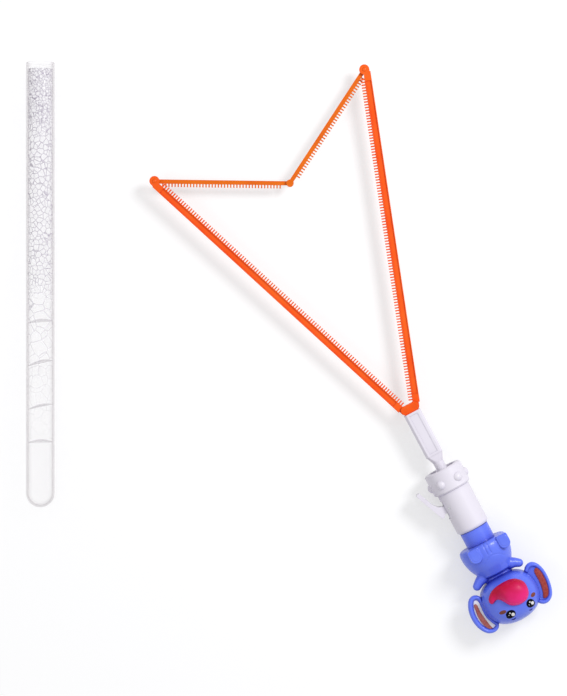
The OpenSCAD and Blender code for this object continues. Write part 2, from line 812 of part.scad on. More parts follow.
module ear_linings() {
    color(brown) on_axis() for (side = [-1, 1]) {
        difference() {
            translate([side * ear_x, head_y - ear_len * 0.02, ear_z]) rotate(-side * ear_lean)
                translate([side * ear_w * 0.09, 0, ear_t * 0.45 + seat]) linear_extrude(ear_t * 0.3)
                    polygon(oval(ear_w / 2 - ear_rim * 1.4, ear_len / 2 - ear_rim * 1.25, 2.2, 40));
            figure_solid(-seat);
        }
    }
}

// The trunk: rings along a spine, each [along, across, radius, drop] as a share of its length
trunk_shares = [
    [0, 0, 0.02, 0], [0.012, 0, 0.075, 0], [0.034, 0, 0.127, 0], [0.062, 0, 0.18, 0], [0.104, 0, 0.233, 0],
    [0.174, 0, 0.289, 0], [0.258, 0, 0.323, 0], [0.337, 0, 0.334, 0], [0.427, 0.006, 0.323, 0],
    [0.511, 0.028, 0.298, 0.008], [0.59, 0.059, 0.253, 0.024], [0.657, 0.09, 0.197, 0.042],
    [0.722, 0.115, 0.146, 0.06], [0.787, 0.132, 0.115, 0.076], [0.843, 0.131, 0.0955, 0.09],
    [0.893, 0.11, 0.0815, 0.1], [0.93, 0.07, 0.07, 0.106], [0.949, 0.028, 0.059, 0.109],
    [0.958, -0.005, 0.04, 0.11], [0.962, -0.018, 0.01, 0.11]
];
trunk_sides = 24;
trunk_flat = 0.78;
trunk_x = head_rx * 0.616;
trunk_y = head_y + head_ry * 0.227;
trunk_z = head_rx * 0.93;
function trunk_mid(i) = [trunk_x - trunk_shares[i][0] * trunk_len, trunk_y + trunk_shares[i][1] * trunk_len];
function trunk_way(i) =
    let (last = len(trunk_shares) - 1, d = trunk_mid(min(i + 1, last)) - trunk_mid(max(i - 1, 0)))
    d / norm(d);
module trunk_solid() {
    rings = len(trunk_shares);
    points = [for (i = [0 : rings - 1]) for (j = [0 : trunk_sides - 1])
        let (a = 360 * j / trunk_sides, r = trunk_shares[i][2] * trunk_len, w = trunk_way(i),
             m = trunk_mid(i))
        [m[0] - w[1] * r * cos(a), m[1] + w[0] * r * cos(a),
         trunk_z - trunk_shares[i][3] * trunk_len + trunk_flat * r * sin(a)]];
    walls = [for (i = [0 : rings - 2]) for (j = [0 : trunk_sides - 1])
        let (k = (j + 1) % trunk_sides, a = i * trunk_sides, b = a + trunk_sides)
        each [[a + j, b + j, b + k], [a + j, b + k, a + k]]];
    first = [for (j = [0 : trunk_sides - 1]) j];
    last = [for (j = [trunk_sides - 1 : -1 : 0]) (rings - 1) * trunk_sides + j];
    polyhedron(points = points, faces = concat(walls, [first], [last]));
}

module trunk() {
    color(pink) on_axis() difference() {
        trunk_solid();
        figure_solid(-seat);
    }
}

// Stub arms, raised beside the chin
stub_r = body_rx * 0.15;
stub_len = body_rx * 0.5;
stub_lift = 38;
stub_y = head_y + head_ry + 1.8 * stub_r;
module arm_stubs() {
    color(blue) on_axis() for (side = [0, 1]) {
        difference() {
            mirror([side, 0, 0]) translate([body_rx * 0.55, stub_y, axis_z * 0.25])
                rotate([0, 90, -stub_lift]) {
                    cylinder(r = stub_r, h = stub_len);
                    translate([0, 0, stub_len]) sphere(stub_r);
                }
            figure_solid(-seat);
        }
    }
}

// Printed features stand a little proud of the head
module on_face(x_share, y_share) {
    translate([x_share * head_rx, head_y + y_share * head_ry, 0]) children();
}

module print_layer() {
    intersection() {
        children();
        difference() {
            figure_solid(-print_h);
            figure_solid(-seat);
        }
    }
}

module eyes() {
    color(ink) on_axis() print_layer() for (x = [-0.275, 0.465]) {
        on_face(x, -0.485) linear_extrude(2 * head_rx) circle(eye_r);
    }
}

module eyebrows() {
    color("#16207A") on_axis() print_layer() for (x = [-0.253, 0.39]) {
        on_face(x, -0.75) linear_extrude(2 * head_rx)
            bar([-eye_r * 0.35, 0], [eye_r * 0.35, 0], eye_r * 0.16);
    }
}

module cheeks() {
    color("#8A4A30") on_axis() print_layer() for (x = [-0.48, 0.675]) {
        on_face(x, -0.265) linear_extrude(2 * head_rx) bar([-eye_r * 0.3, 0], [eye_r * 0.3, 0], eye_r * 0.48);
    }
}

// The clear tube lies on the table beside the wand, its mouth away from the handle
bead = tube_wall * 0.25;
module tube() {
    inner = tube_r - tube_wall;
    steps = 12;
    straight = tube_len - tube_r;
    bowl_out = [for (i = [0 : steps])
        [tube_r * cos(90 * i / steps), straight + tube_r * sin(90 * i / steps)]];
    bowl_in = [for (i = [steps : -1 : 0])
        [inner * cos(90 * i / steps), straight + inner * sin(90 * i / steps)]];
    color([0.85, 0.92, 0.98, 0.35]) translate([-tube_x, tube_y, tube_r]) rotate(-tube_turn)
        rotate([90, 0, 0]) rotate_extrude($fn = 96) polygon(concat(
            [[inner, 0], [tube_r - bead, 0], [tube_r, bead]], bowl_out, bowl_in
        ));
}

frame_hub();
hub_cap();
long_arm_left();
long_arm_right();
tip_pin_left();
tip_pin_right();
short_arm_left();
short_arm_right();
mid_pin_lower();
mid_pin_upper();
stem_upper();
stem_lower();
flange_screws();
pushrod();
drive_pin();
rod_seal();
screw_collar();
tube_gasket();
handle_barrel();
trigger();
trigger_pin();
throat();
elephant_front();
elephant_back();
shell_screws();
ear_left();
ear_right();
ear_linings();
trunk();
arm_stubs();
eyes();
eyebrows();
cheeks();
tube();
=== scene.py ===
"""Folding bubble wand with an elephant on its handle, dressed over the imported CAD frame.

The rigid CAD pieces stay and get moulded-plastic materials. The elephant's skin, ears, trunk and
printed face are built here as fuller forms that replace their CAD solids, and the clear tube gets
its foam. Lengths are in millimetres in the CAD's own frame, and make_mesh() turns them to metres.
"""

import json
import math
import random

import bmesh
import bpy
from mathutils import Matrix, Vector
from mathutils.bvhtree import BVHTree


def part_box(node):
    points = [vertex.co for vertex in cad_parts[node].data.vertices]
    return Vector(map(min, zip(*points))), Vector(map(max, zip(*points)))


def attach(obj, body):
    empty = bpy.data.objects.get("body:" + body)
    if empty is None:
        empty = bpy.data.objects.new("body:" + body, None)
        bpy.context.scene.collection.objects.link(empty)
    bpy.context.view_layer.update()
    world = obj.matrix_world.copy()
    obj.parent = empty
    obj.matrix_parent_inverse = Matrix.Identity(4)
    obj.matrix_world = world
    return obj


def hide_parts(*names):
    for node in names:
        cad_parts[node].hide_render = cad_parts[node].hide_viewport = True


MM = 0.001
X_WAY, Y_WAY, Z_WAY = Vector((1, 0, 0)), Vector((0, 1, 0)), Vector((0, 0, 1))

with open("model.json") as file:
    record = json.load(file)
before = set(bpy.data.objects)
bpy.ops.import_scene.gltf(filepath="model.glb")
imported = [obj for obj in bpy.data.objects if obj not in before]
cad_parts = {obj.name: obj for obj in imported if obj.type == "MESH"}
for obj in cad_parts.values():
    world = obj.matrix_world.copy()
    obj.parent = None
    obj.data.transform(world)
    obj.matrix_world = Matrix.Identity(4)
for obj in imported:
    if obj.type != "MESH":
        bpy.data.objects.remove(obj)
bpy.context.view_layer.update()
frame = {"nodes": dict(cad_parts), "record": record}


def node_box(node):
    """A CAD node's lowest and highest corner in millimetres."""
    low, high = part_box(node)
    return low / MM, high / MM


BARREL_LOW, BARREL_HIGH = node_box("handle_barrel")
FRONT_LOW, FRONT_HIGH = node_box("elephant_front")
AXIS_Z = (BARREL_LOW.z + BARREL_HIGH.z) / 2
# The head is turned about the wand's axis from a superellipse with these half axes and this power
HEAD_RX = FRONT_HIGH.x
HEAD_RY = 22.2
HEAD_POWER = 2.25
FIGURE_TOP = FRONT_LOW.y
FIGURE_FOOT = FRONT_HIGH.y
HEAD_Y = FIGURE_TOP + HEAD_RY


# ---------------------------------------------------------------- mesh helpers


def linked(name, data):
    """A new object for a mesh, lamp or camera, in the scene."""
    obj = bpy.data.objects.new(name, data)
    bpy.context.scene.collection.objects.link(obj)
    return obj


def make_mesh(name, points, faces):
    """A closed mesh object from points in millimetres, with its normals turned outwards."""
    mesh = bpy.data.meshes.new(name)
    mesh.from_pydata([(x * MM, y * MM, z * MM) for x, y, z in points], [], faces)
    bm = bmesh.new()
    bm.from_mesh(mesh)
    bmesh.ops.remove_doubles(bm, verts=bm.verts, dist=1e-7)
    bmesh.ops.recalc_face_normals(bm, faces=bm.faces)
    bm.to_mesh(mesh)
    bm.free()
    mesh.shade_smooth()
    return linked(name, mesh)


def band(first, second, count):
    """The quads between two rings of count points each, given the index of each ring's first point."""
    turns = [(j, (j + 1) % count) for j in range(count)]
    return [(first + j, second + j, second + k, first + k) for j, k in turns]


def fan(first, count, middle):
    """The triangles between a ring of count points and one point in its middle."""
    return [(first + j, first + (j + 1) % count, middle) for j in range(count)]


def loft(name, rings):
    """Skins a list of rings with equal point counts and closes both ends with a fan."""
    count = len(rings[0])
    points = [p for ring in rings for p in ring]
    faces = []
    for i in range(len(rings) - 1):
        faces += band(i * count, (i + 1) * count, count)
    for first in (0, (len(rings) - 1) * count):
        ring = points[first:first + count]
        points.append(tuple(sum(c) / count for c in zip(*ring)))
        faces += fan(first, count, len(points) - 1)
    return make_mesh(name, points, faces)


def spline_value(a, b, c, d, t):
    """One coordinate at share t of the Catmull-Rom span from b to c."""
    square, cube = 2 * a - 5 * b + 4 * c - d, 3 * b - a - 3 * c + d
    return 0.5 * (2 * b + (c - a) * t + square * t * t + cube * t ** 3)


def curve_through(points, steps):
    """A Catmull-Rom curve through points of any dimension, steps samples to each span."""
    pts = [points[0], *points, points[-1]]
    out = []
    for i in range(1, len(pts) - 2):
        corners = list(zip(*pts[i - 1:i + 3]))
        for step in range(steps):
            out.append(tuple(spline_value(*four, step / steps) for four in corners))
    out.append(tuple(points[-1]))
    return out


def ellipse_ring(centre, side, lift, a, b, sides):
    """Points of an ellipse about centre with half axes a along side and b along lift."""
    turn = [2 * math.pi * j / sides for j in range(sides)]
    return [tuple(centre + side * (a * math.cos(t)) + lift * (b * math.sin(t))) for t in turn]


POLE_GAP = 0.4  # share of a step that a round end's last ring stays off its pole


def cap_rings(place, way, side, lift, radius, flat, sides, steps):
    """Rings of a round end, from its rim outwards along way."""
    rings = []
    for k in range(1, steps + 1):
        t = math.pi / 2 * k / (steps + POLE_GAP)
        across = radius * math.cos(t)
        rings.append(ellipse_ring(place + way * radius * math.sin(t), side, lift, across, across * flat, sides))
    return rings


def sweep(name, spine, sides=32, flat=1.0, cap_steps=5, closed=False):
    """A tube along spine rows (x, y, z, radius), flat times as high as wide: a closed loop or round-ended."""
    rings = []
    last = len(spine) - 1
    points = [Vector(row[:3]) for row in spine]
    for i, (*_, radius) in enumerate(spine):
        if closed:
            before, after = points[i - 1], points[(i + 1) % (last + 1)]
        else:
            before, after = points[max(i - 1, 0)], points[min(i + 1, last)]
        way = (after - before).normalized()
        side = way.cross(Z_WAY).normalized()
        lift = side.cross(way)
        if i == 0 and not closed:
            rings += reversed(cap_rings(points[i], -way, side, lift, radius, flat, sides, cap_steps))
        rings.append(ellipse_ring(points[i], side, lift, radius, radius * flat, sides))
        if i == last and not closed:
            rings += cap_rings(points[i], way, side, lift, radius, flat, sides, cap_steps)
    if not closed:
        return loft(name, rings)
    faces = []
    for i in range(len(rings)):
        faces += band(i * sides, (i + 1) % len(rings) * sides, sides)
    return make_mesh(name, [p for ring in rings for p in ring], faces)


def lathe(name, profile, sides=160):
    """A solid turned about the wand's axis from rows (y, radius)."""
    return loft(name, [ellipse_ring(Vector((0, y, AXIS_Z)), X_WAY, Z_WAY, r, r, sides) for y, r in profile])


def joined(name, parts):
    """One object from several closed parts that stay separate shells."""
    bm = bmesh.new()
    for part in parts:
        bm.from_mesh(part.data)
        bpy.data.objects.remove(part)
    mesh = bpy.data.meshes.new(name)
    bm.to_mesh(mesh)
    bm.free()
    mesh.shade_smooth()
    return linked(name, mesh)


def bake(obj):
    """Puts a piece's modifiers into its mesh."""
    graph = bpy.context.evaluated_depsgraph_get()
    obj.data = bpy.data.meshes.new_from_object(obj.evaluated_get(graph))
    obj.modifiers.clear()


def fused(name, parts, voxel, rounds):
    """Joins closed parts into one skin by a voxel remesh and smooths it."""
    obj = joined(name, parts)
    remesh = obj.modifiers.new("remesh", "REMESH")
    remesh.mode = "VOXEL"
    remesh.voxel_size = voxel * MM
    smooth = obj.modifiers.new("smooth", "SMOOTH")
    smooth.factor = 0.5
    smooth.iterations = rounds
    bake(obj)
    obj.data.shade_smooth()
    return obj


def cut(obj, cutter, crisp=60):
    """Takes one closed form out of another, and keeps edges over crisp degrees sharp."""
    step = obj.modifiers.new("cut", "BOOLEAN")
    step.operation = "DIFFERENCE"
    step.solver = "EXACT"
    step.object = cutter
    bake(obj)
    obj.data.set_sharp_from_angle(angle=math.radians(crisp))
    bpy.data.objects.remove(cutter)


def surface_of(obj):
    """A lookup of a piece's surface for placing things on it."""
    bm = bmesh.new()
    bm.from_mesh(obj.data)
    tree = BVHTree.FromBMesh(bm)
    bm.free()
    return tree


def height_on(tree, x, y):
    """Height in millimetres of the topmost surface under (x, y), or of the axis where there is none."""
    hit = tree.ray_cast(Vector((x * MM, y * MM, 1.0)), -Z_WAY)[0]
    return hit.z / MM if hit else AXIS_Z


PAD_RINGS = (0.25, 0.5, 0.72, 0.88, 0.97, 1.0)  # each ring's share of a pad's outline


def pad_on(name, tree, centre, outline, lift, sink=0.5, crown=0.6):
    """A thin closed pad on a surface: outline points about centre, its top raised by lift and crowned."""
    count = len(outline)
    cx, cy = centre
    top = []
    for share in PAD_RINGS:
        rise = lift * (1 - crown + crown * math.sqrt(max(0.0, 1 - share * share)))
        plan = [(cx + (x - cx) * share, cy + (y - cy) * share) for x, y in outline]
        top.append([(x, y, height_on(tree, x, y) + rise) for x, y in plan])
    base = [(x, y, z - lift * (1 - crown) - sink) for x, y, z in top[-1]]
    middle = height_on(tree, cx, cy)
    points = [(cx, cy, middle + lift), *(p for ring in top for p in ring), *base, (cx, cy, middle - sink)]
    faces = fan(1, count, 0)
    for i in range(len(top)):
        faces += band(1 + i * count, 1 + (i + 1) * count, count)
    faces += fan(1 + len(top) * count, count, len(points) - 1)
    return make_mesh(name, points, faces)


def signed_power(value, power):
    """A power of a number's size that keeps its sign."""
    return math.copysign(abs(value) ** power, value)


def oval(cx, cy, rx, ry, turn=0.0, power=2.0, count=40):
    """Outline points of a superellipse."""
    out = []
    c, s = math.cos(math.radians(turn)), math.sin(math.radians(turn))
    for i in range(count):
        a = 2 * math.pi * i / count
        x = rx * signed_power(math.cos(a), 2 / power)
        y = ry * signed_power(math.sin(a), 2 / power)
        out.append((cx + c * x - s * y, cy + s * x + c * y))
    return out


# ---------------------------------------------------------------- materials


class Shader:
    """A node material under construction, with short calls for the nodes that repeat."""

    def __init__(self, name, rough, **sockets):
        self.material = bpy.data.materials.new(name)
        self.material.use_nodes = True
        self.tree = self.material.node_tree
        self.nodes, self.links = self.tree.nodes, self.tree.links
        self.bsdf = self.nodes["Principled BSDF"]
        self.bsdf.inputs["Roughness"].default_value = rough
        for key, value in sockets.items():
            self.bsdf.inputs[key.replace("_", " ")].default_value = value
        self.coords = self.nodes.new("ShaderNodeTexCoord").outputs["Object"]

    def link(self, out, to):
        """Joins an output socket to an input socket."""
        self.links.new(out, to)

    def noise(self, size, detail):
        """Noise whose features are about size millimetres."""
        node = self.nodes.new("ShaderNodeTexNoise")
        node.inputs["Scale"].default_value = 1 / (size * MM)
        node.inputs["Detail"].default_value = detail
        self.link(self.coords, node.inputs["Vector"])
        return node.outputs["Fac"]

    def patches(self, size):
        """0 to 1 in soft-edged patches of about size millimetres."""
        return self.span(self.noise(size, 3), 0.35, 0.65, 0, 1)

    def uneven(self, size, detail, low, high):
        """A value that drifts from low to high over about size millimetres."""
        return self.span(self.noise(size, detail), 0.3, 0.7, low, high)

    def math(self, operation, a, b=0.0, clamp=False):
        """A math node on sockets or numbers."""
        node = self.nodes.new("ShaderNodeMath")
        node.operation = operation
        node.use_clamp = clamp
        for socket, value in zip(node.inputs, (a, b)):
            if isinstance(value, (int, float)):
                socket.default_value = value
            else:
                self.link(value, socket)
        return node.outputs[0]

    def span(self, value, low, high, to_low, to_high):
        """Maps value from one range to another, clamped."""
        node = self.nodes.new("ShaderNodeMapRange")
        for key, number in (("From Min", low), ("From Max", high), ("To Min", to_low), ("To Max", to_high)):
            node.inputs[key].default_value = number
        self.link(value, node.inputs["Value"])
        return node.outputs["Result"]

    def mix(self, fac, a, b):
        """Mixes two colours, each a tuple or a socket."""
        node = self.nodes.new("ShaderNodeMix")
        node.data_type = "RGBA"
        self.link(fac, node.inputs["Factor"])
        for key, value in ((6, a), (7, b)):
            if isinstance(value, tuple):
                node.inputs[key].default_value = (*value, 1)
            else:
                self.link(value, node.inputs[key])
        return node.outputs[2]

    def axis(self, which):
        """The object's own x, y or z in metres."""
        node = self.nodes.new("ShaderNodeSeparateXYZ")
        self.link(self.coords, node.inputs[0])
        return node.outputs[which]

    def attribute(self, name):
        """A number stored on the mesh's points."""
        node = self.nodes.new("ShaderNodeAttribute")
        node.attribute_name = name
        return node.outputs["Fac"]

    def facing(self, blend):
        """0 where the surface faces the viewer, to 1 where it turns away."""
        node = self.nodes.new("ShaderNodeLayerWeight")
        node.inputs["Blend"].default_value = blend
        return node.outputs["Facing"]

    def crease_shade_mask(self, reach):
        """1 in the open and less in creases, over reach millimetres: the mask that paints shade into creases.
        """
        node = self.nodes.new("ShaderNodeAmbientOcclusion")
        node.samples = 4
        node.inputs["Distance"].default_value = reach * MM
        return node.outputs["AO"]

    def alpha(self, value):
        """Sets how opaque the surface is."""
        self.link(value, self.bsdf.inputs["Alpha"])

    def colour(self, value):
        """Sets the base colour."""
        self.link(value, self.bsdf.inputs["Base Color"])

    def roughness(self, value):
        """Sets the roughness."""
        self.link(value, self.bsdf.inputs["Roughness"])

    def bump(self, height, distance, edge=0.0):
        """Bump of distance millimetres; edge rounds sharp edges to that radius in the shading."""
        node = self.nodes.new("ShaderNodeBump")
        node.inputs["Distance"].default_value = distance * MM
        self.link(height, node.inputs["Height"])
        if edge:
            bevel = self.nodes.new("ShaderNodeBevel")
            bevel.samples = 4
            bevel.inputs["Radius"].default_value = edge * MM
            self.link(bevel.outputs[0], node.inputs["Normal"])
        self.link(node.outputs[0], self.bsdf.inputs["Normal"])


# Each plastic's deeper and paler tone, and the painted shade in its creases
BLUE = ((0.112, 0.182, 0.95), (0.138, 0.216, 0.98), (0.01, 0.016, 0.4))
WHITE = ((0.835, 0.795, 0.895), (0.855, 0.82, 0.915), (0.46, 0.43, 0.54))
ORANGE = ((0.98, 0.1, 0.005), (1.0, 0.136, 0.01), (0.66, 0.026, 0.002))
AMBER = ((0.8, 0.133, 0.002), (0.88, 0.172, 0.004), (0.56, 0.055, 0.001))
RUBBER = ((0.02, 0.02, 0.022), (0.035, 0.035, 0.04), (0.01, 0.01, 0.012))
# The trunk's pink at the brow, the crimson of its painted shade below, and its painted shade in creases
PINK, SHADED_CRIMSON, PINK_CREASE_SHADE = (1.0, 0.028, 0.27), (0.56, 0.0, 0.045), (0.25, 0.0, 0.03)
# Two tones each
LINING_FULL = ((0.34, 0.043, 0.036), (0.44, 0.08, 0.066))
LINING_THIN = ((0.4, 0.105, 0.092), (0.5, 0.17, 0.15))
EYE_INK = ((0.0005, 0.0005, 0.002), (0.001, 0.001, 0.012))
BROW_INK = ((0.0005, 0.003, 0.17), (0.001, 0.006, 0.24))
CHEEK_INK = ((0.19, 0.055, 0.045), (0.26, 0.08, 0.06))
PALE_INK = ((0.86, 0.86, 0.88), (0.92, 0.92, 0.94))
STEEL = ((0.5, 0.51, 0.54), (0.68, 0.69, 0.71))
# The greys of the painted shade where the clear tube's wall turns away
WALL_EDGE_SHADE = ((0.5, 0.43, 0.47), (0.62, 0.55, 0.6))
FOAM_TINT = ((0.94, 0.92, 0.99), (0.42, 0.37, 0.48))
# The greys of the painted shade towards a soap film's edge
FILM_EDGE_SHADE = ((0.66, 0.6, 0.66), (0.8, 0.76, 0.82))

CREASE_SHADE_SPAN = (0.34, 0.86)  # the occlusion at which a moulded crease gets the full painted shade, and at which the painted shade ends
CLOUDS, SATIN, GRAIN, WAVES = 22, 2.4, 0.5, 9  # sizes in millimetres of a moulded skin's unevenness
GRAIN_SHARE = 0.12  # height of the grain against the waves
SKIN_BUMP = 0.06
SEAM_HALF, SEAM_DEPTH = 0.28, 1.6  # half width in millimetres of the line between two shells, and its depth


def moulded(name, deep, pale, shade, rough=0.3, coat=0.35, grain=0.35,
            edge=0.0, reach=2.2, seam=None, **sockets):
    """Moulded plastic: cloudy colour, painted shade in creases over reach, a fine skin, and a seam at a height.
    """
    s = Shader(name, rough, Coat_Weight=coat, Coat_Roughness=0.12, **sockets)
    body = s.mix(s.patches(CLOUDS), deep, pale)
    # painted shade: the crease tone darkens the colour where the surface is occluded
    s.colour(s.mix(s.span(s.crease_shade_mask(reach), *CREASE_SHADE_SPAN, 0, 1), shade, body))
    s.roughness(s.uneven(SATIN, 2, rough - 0.03, rough + 0.04))
    height = s.math("MULTIPLY", s.noise(GRAIN, 3), grain * GRAIN_SHARE)
    height = s.math("ADD", height, s.math("MULTIPLY", s.noise(WAVES, 1), grain))
    if seam is not None:
        away = s.math("ABSOLUTE", s.math("SUBTRACT", s.axis(2), seam * MM))
        groove = s.math("MULTIPLY", s.span(away, 0.0, SEAM_HALF * MM, -1, 0), SEAM_DEPTH)
        height = s.math("ADD", height, groove)
    s.bump(height, SKIN_BUMP, edge=edge)
    return s.material


def ink_film(s, rough):
    """Gives a printed or painted layer its slightly uneven film, and returns its material."""
    s.roughness(s.uneven(0.6, 2, rough - 0.06, rough + 0.08))
    s.bump(s.noise(0.35, 2), 0.015)
    return s.material


INK_PATCH = 1.3  # size in millimetres of the patches in an ink


def printed(name, deep, pale, rough=0.4, coat=0.2, **sockets):
    """Pad-printed ink: two close tones in soft patches."""
    s = Shader(name, rough, Coat_Weight=coat, Coat_Roughness=0.15, **sockets)
    s.colour(s.mix(s.patches(INK_PATCH), deep, pale))
    return ink_film(s, rough)


def lining_paint(rough=0.42):
    """The ears' red-brown paint, which is paler on the ear with the white patch, at negative x."""
    s = Shader("brown_paint", rough, Coat_Weight=0.0, Specular_IOR_Level=0.15)
    patches = s.patches(INK_PATCH)
    full = s.mix(patches, *LINING_FULL)
    thin = s.mix(patches, *LINING_THIN)
    s.colour(s.mix(s.span(s.axis(0), -MM, MM, 0, 1), thin, full))
    return ink_film(s, rough)


def brushed_steel():
    """The metal of the screws and pins."""
    s = Shader("steel", 0.3, Metallic=1.0)
    s.colour(s.mix(s.noise(1.5, 3), *STEEL))
    s.roughness(s.uneven(0.3, 4, 0.22, 0.42))
    s.bump(s.noise(0.2, 2), 0.01)
    return s.material


PINK_FROM, PINK_TO = -4, 13  # from the head's middle, where the pink is brightest and where its painted shade is crimson


def pink_gloss():
    """The trunk's pink, brighter towards the brow and crimson below as painted shade, and painted shade in its
    creases.
    """
    s = Shader("pink_gloss", 0.42, Coat_Weight=0.06, Coat_Roughness=0.25, Specular_IOR_Level=0.18)
    # painted shade: the pink darkens to crimson away from the brow
    shade = s.span(s.axis(1), (HEAD_Y + PINK_FROM) * MM, (HEAD_Y + PINK_TO) * MM, 0, 1)
    shade = s.math("ADD", shade, s.uneven(7, 2, -0.08, 0.08), clamp=True)
    pink = s.mix(shade, PINK, SHADED_CRIMSON)
    # painted shade in the trunk's creases
    s.colour(s.mix(s.span(s.crease_shade_mask(2.5), 0.3, 0.9, 0, 1), PINK_CREASE_SHADE, pink))
    s.roughness(s.uneven(2.2, 2, 0.38, 0.46))
    s.bump(s.math("ADD", s.noise(GRAIN, 3), s.math("MULTIPLY", s.noise(WAVES, 1), 4.0)), 0.012)
    return s.material


WALL_EDGE, FILM_EDGE = 0.75, 0.5  # how opaque the painted grey edge shade of the tube's wall and of a soap film is where they turn away
WALL_SHADOW = 0.12  # the share of the wall's opacity that casts a shadow
LEAST_SEEN = 0.01  # the opacity of clear plastic and soap film face on


def clear_wall():
    """The tube's clear plastic: near invisible face on, with a warm grey painted shade where it turns away."""
    s = Shader("clear_wall", 0.06, Coat_Weight=0.3, Coat_Roughness=0.03)
    turn = s.facing(0.5)
    # painted shade: grey that shows where the clear wall turns away
    s.colour(s.mix(s.uneven(14, 2, 0, 1), *WALL_EDGE_SHADE))
    s.roughness(s.uneven(3, 3, 0.04, 0.1))
    s.bump(s.noise(12, 1), 0.05)
    seen = s.math("ADD", s.math("MULTIPLY", s.math("POWER", turn, 3.0), WALL_EDGE), LEAST_SEEN)
    lit_through = s.span(s.nodes.new("ShaderNodeLightPath").outputs["Is Shadow Ray"], 0, 1, 1, WALL_SHADOW)
    s.alpha(s.math("MULTIPLY", seen, lit_through))
    return s.material


# Bubble size in millimetres and width of the films between the bubbles, for the three kinds of foam
NETS = ((2.6, 0.11), (4.3, 0.075), (10.5, 0.042))
# Distances from the tube's mouth in millimetres over which a kind of foam or the haze gives way
FINE_END, MIDDLE_END, WIDE_FADE, HAZE_FADE = (52, 60), (196, 208), (200, 335), (30, 240)
FOAM_WOBBLE = 46.0  # how far in millimetres these borders wander
FOAM_LINE, WIDE_LINE = 0.62, 0.85  # opacity of the films, and the share of it that the widest ones have
HAZE = (0.3, 0.02)


def net(s, size, line):
    """1 on the films between the cells of a foam, 0 inside them."""
    cells = s.nodes.new("ShaderNodeTexVoronoi")
    cells.feature = "DISTANCE_TO_EDGE"
    cells.inputs["Scale"].default_value = 1 / (size * MM)
    cells.inputs["Randomness"].default_value = 0.95
    s.link(s.coords, cells.inputs["Vector"])
    return s.span(cells.outputs["Distance"], line * 0.25, line, 1, 0)


def foam_skin():
    """Foam against the tube's wall: a net of thin grey films, fine at the mouth and wide below."""
    s = Shader("foam_skin", 0.2, Coat_Weight=0.2)
    along = s.attribute("along")
    wobble = s.math("MULTIPLY", s.math("SUBTRACT", s.noise(16, 2), 0.5), FOAM_WOBBLE)
    place = s.math("ADD", along, wobble)
    fine, middle, wide = (net(s, size, line) for size, line in NETS)
    below_fine = s.span(place, *FINE_END, 0, 1)
    below_middle = s.span(place, *MIDDLE_END, 0, 1)
    fade = s.span(place, *WIDE_FADE, WIDE_LINE, 0.0)
    fine_share = s.math("SUBTRACT", 1.0, below_fine)
    middle_share = s.math("MULTIPLY", below_fine, s.math("SUBTRACT", 1.0, below_middle))
    wide_share = s.math("MULTIPLY", below_middle, fade)
    lines = s.math("ADD", s.math("MULTIPLY", fine, fine_share), s.math("MULTIPLY", middle, middle_share))
    lines = s.math("ADD", lines, s.math("MULTIPLY", wide, wide_share), clamp=True)
    s.colour(s.mix(lines, *FOAM_TINT))
    haze = s.span(place, *HAZE_FADE, *HAZE)
    near = s.math("SUBTRACT", 1.0, s.nodes.new("ShaderNodeNewGeometry").outputs["Backfacing"])
    s.alpha(s.math("MULTIPLY", s.math("ADD", s.math("MULTIPLY", lines, FOAM_LINE), haze), near))
    s.roughness(s.uneven(2, 2, 0.12, 0.26))
    s.bump(lines, 0.15)
    return s.material


def film_skin():
    """A soap film across the tube: clear in the middle, with grey painted shade towards its edge."""
    s = Shader("film_skin", 0.1, Coat_Weight=0.4)
    turn = s.facing(0.55)
    # painted shade: grey that shows where the film turns away
    s.colour(s.mix(s.noise(4, 2), *FILM_EDGE_SHADE))
    s.alpha(s.math("ADD", s.math("MULTIPLY", s.math("POWER", turn, 2.5), FILM_EDGE), LEAST_SEEN))
    s.bump(s.noise(3, 2), 0.03)
    return s.material


# What the orange and the amber arms share
FRAME_SKIN = {"rough": 0.32, "coat": 0.06, "grain": 0.2, "edge": 0.3, "reach": 1.9, "Specular_IOR_Level": 0.18}

MATERIALS = {
    # painted shade: the blue's wide reach darkens under the chin and round the arms and ears
    "blue_plastic": moulded("blue_plastic", *BLUE, rough=0.34, coat=0.2, reach=11, seam=AXIS_Z,
                            Specular_IOR_Level=0.4),
    "white_plastic": moulded("white_plastic", *WHITE, rough=0.34, coat=0.15, grain=0.12, edge=0.45, reach=3,
                             Specular_IOR_Level=0.3),
    "orange_plastic": moulded("orange_plastic", *ORANGE, **FRAME_SKIN),
    "amber_plastic": moulded("amber_plastic", *AMBER, **FRAME_SKIN),
    "pink_plastic": pink_gloss(),
    "brown_paint": lining_paint(),
    "ink_paint": printed("ink_paint", *EYE_INK, rough=0.3, coat=0.0, Specular_IOR_Level=0.05),
    "brow_paint": printed("brow_paint", *BROW_INK, coat=0.0, Specular_IOR_Level=0.03),
    "cheek_paint": printed("cheek_paint", *CHEEK_INK, coat=0.0, Specular_IOR_Level=0.1),
    "steel": brushed_steel(),
    "seal_rubber": moulded("seal_rubber", *RUBBER, rough=0.6, coat=0.0),
    "clear_tube": clear_wall(),
}
WHITE_INK = printed("white_ink", *PALE_INK)


def wear(obj, slot, material=None):
    """Gives a new piece its material: the one of the given slot, unless another material is given."""
    obj.data.materials.clear()
    obj.data.materials.append(material or MATERIALS[slot])


def dress_cad():
    """Every carried-over CAD node gets the material of its own slot."""
    for part in frame["record"]["subparts"]:
        node = frame["nodes"][part["node"]]
        material = MATERIALS[part["material_slot"]]
        for slot in node.material_slots:
            slot.material = material
        if not node.material_slots:
            node.data.materials.append(material)


# ---------------------------------------------------------------- the elephant


def head_profile(steps=56):
    """Rows (y, radius) of the whole head, turned about the wand's axis."""
    rows = []
    for i in range(steps + 1):
        a = math.pi * i / steps
        y = HEAD_Y - HEAD_RY * signed_power(math.cos(a), 2 / HEAD_POWER)
        rows.append((y, HEAD_RX * max(0.004, math.sin(a)) ** (2 / HEAD_POWER)))
    return rows


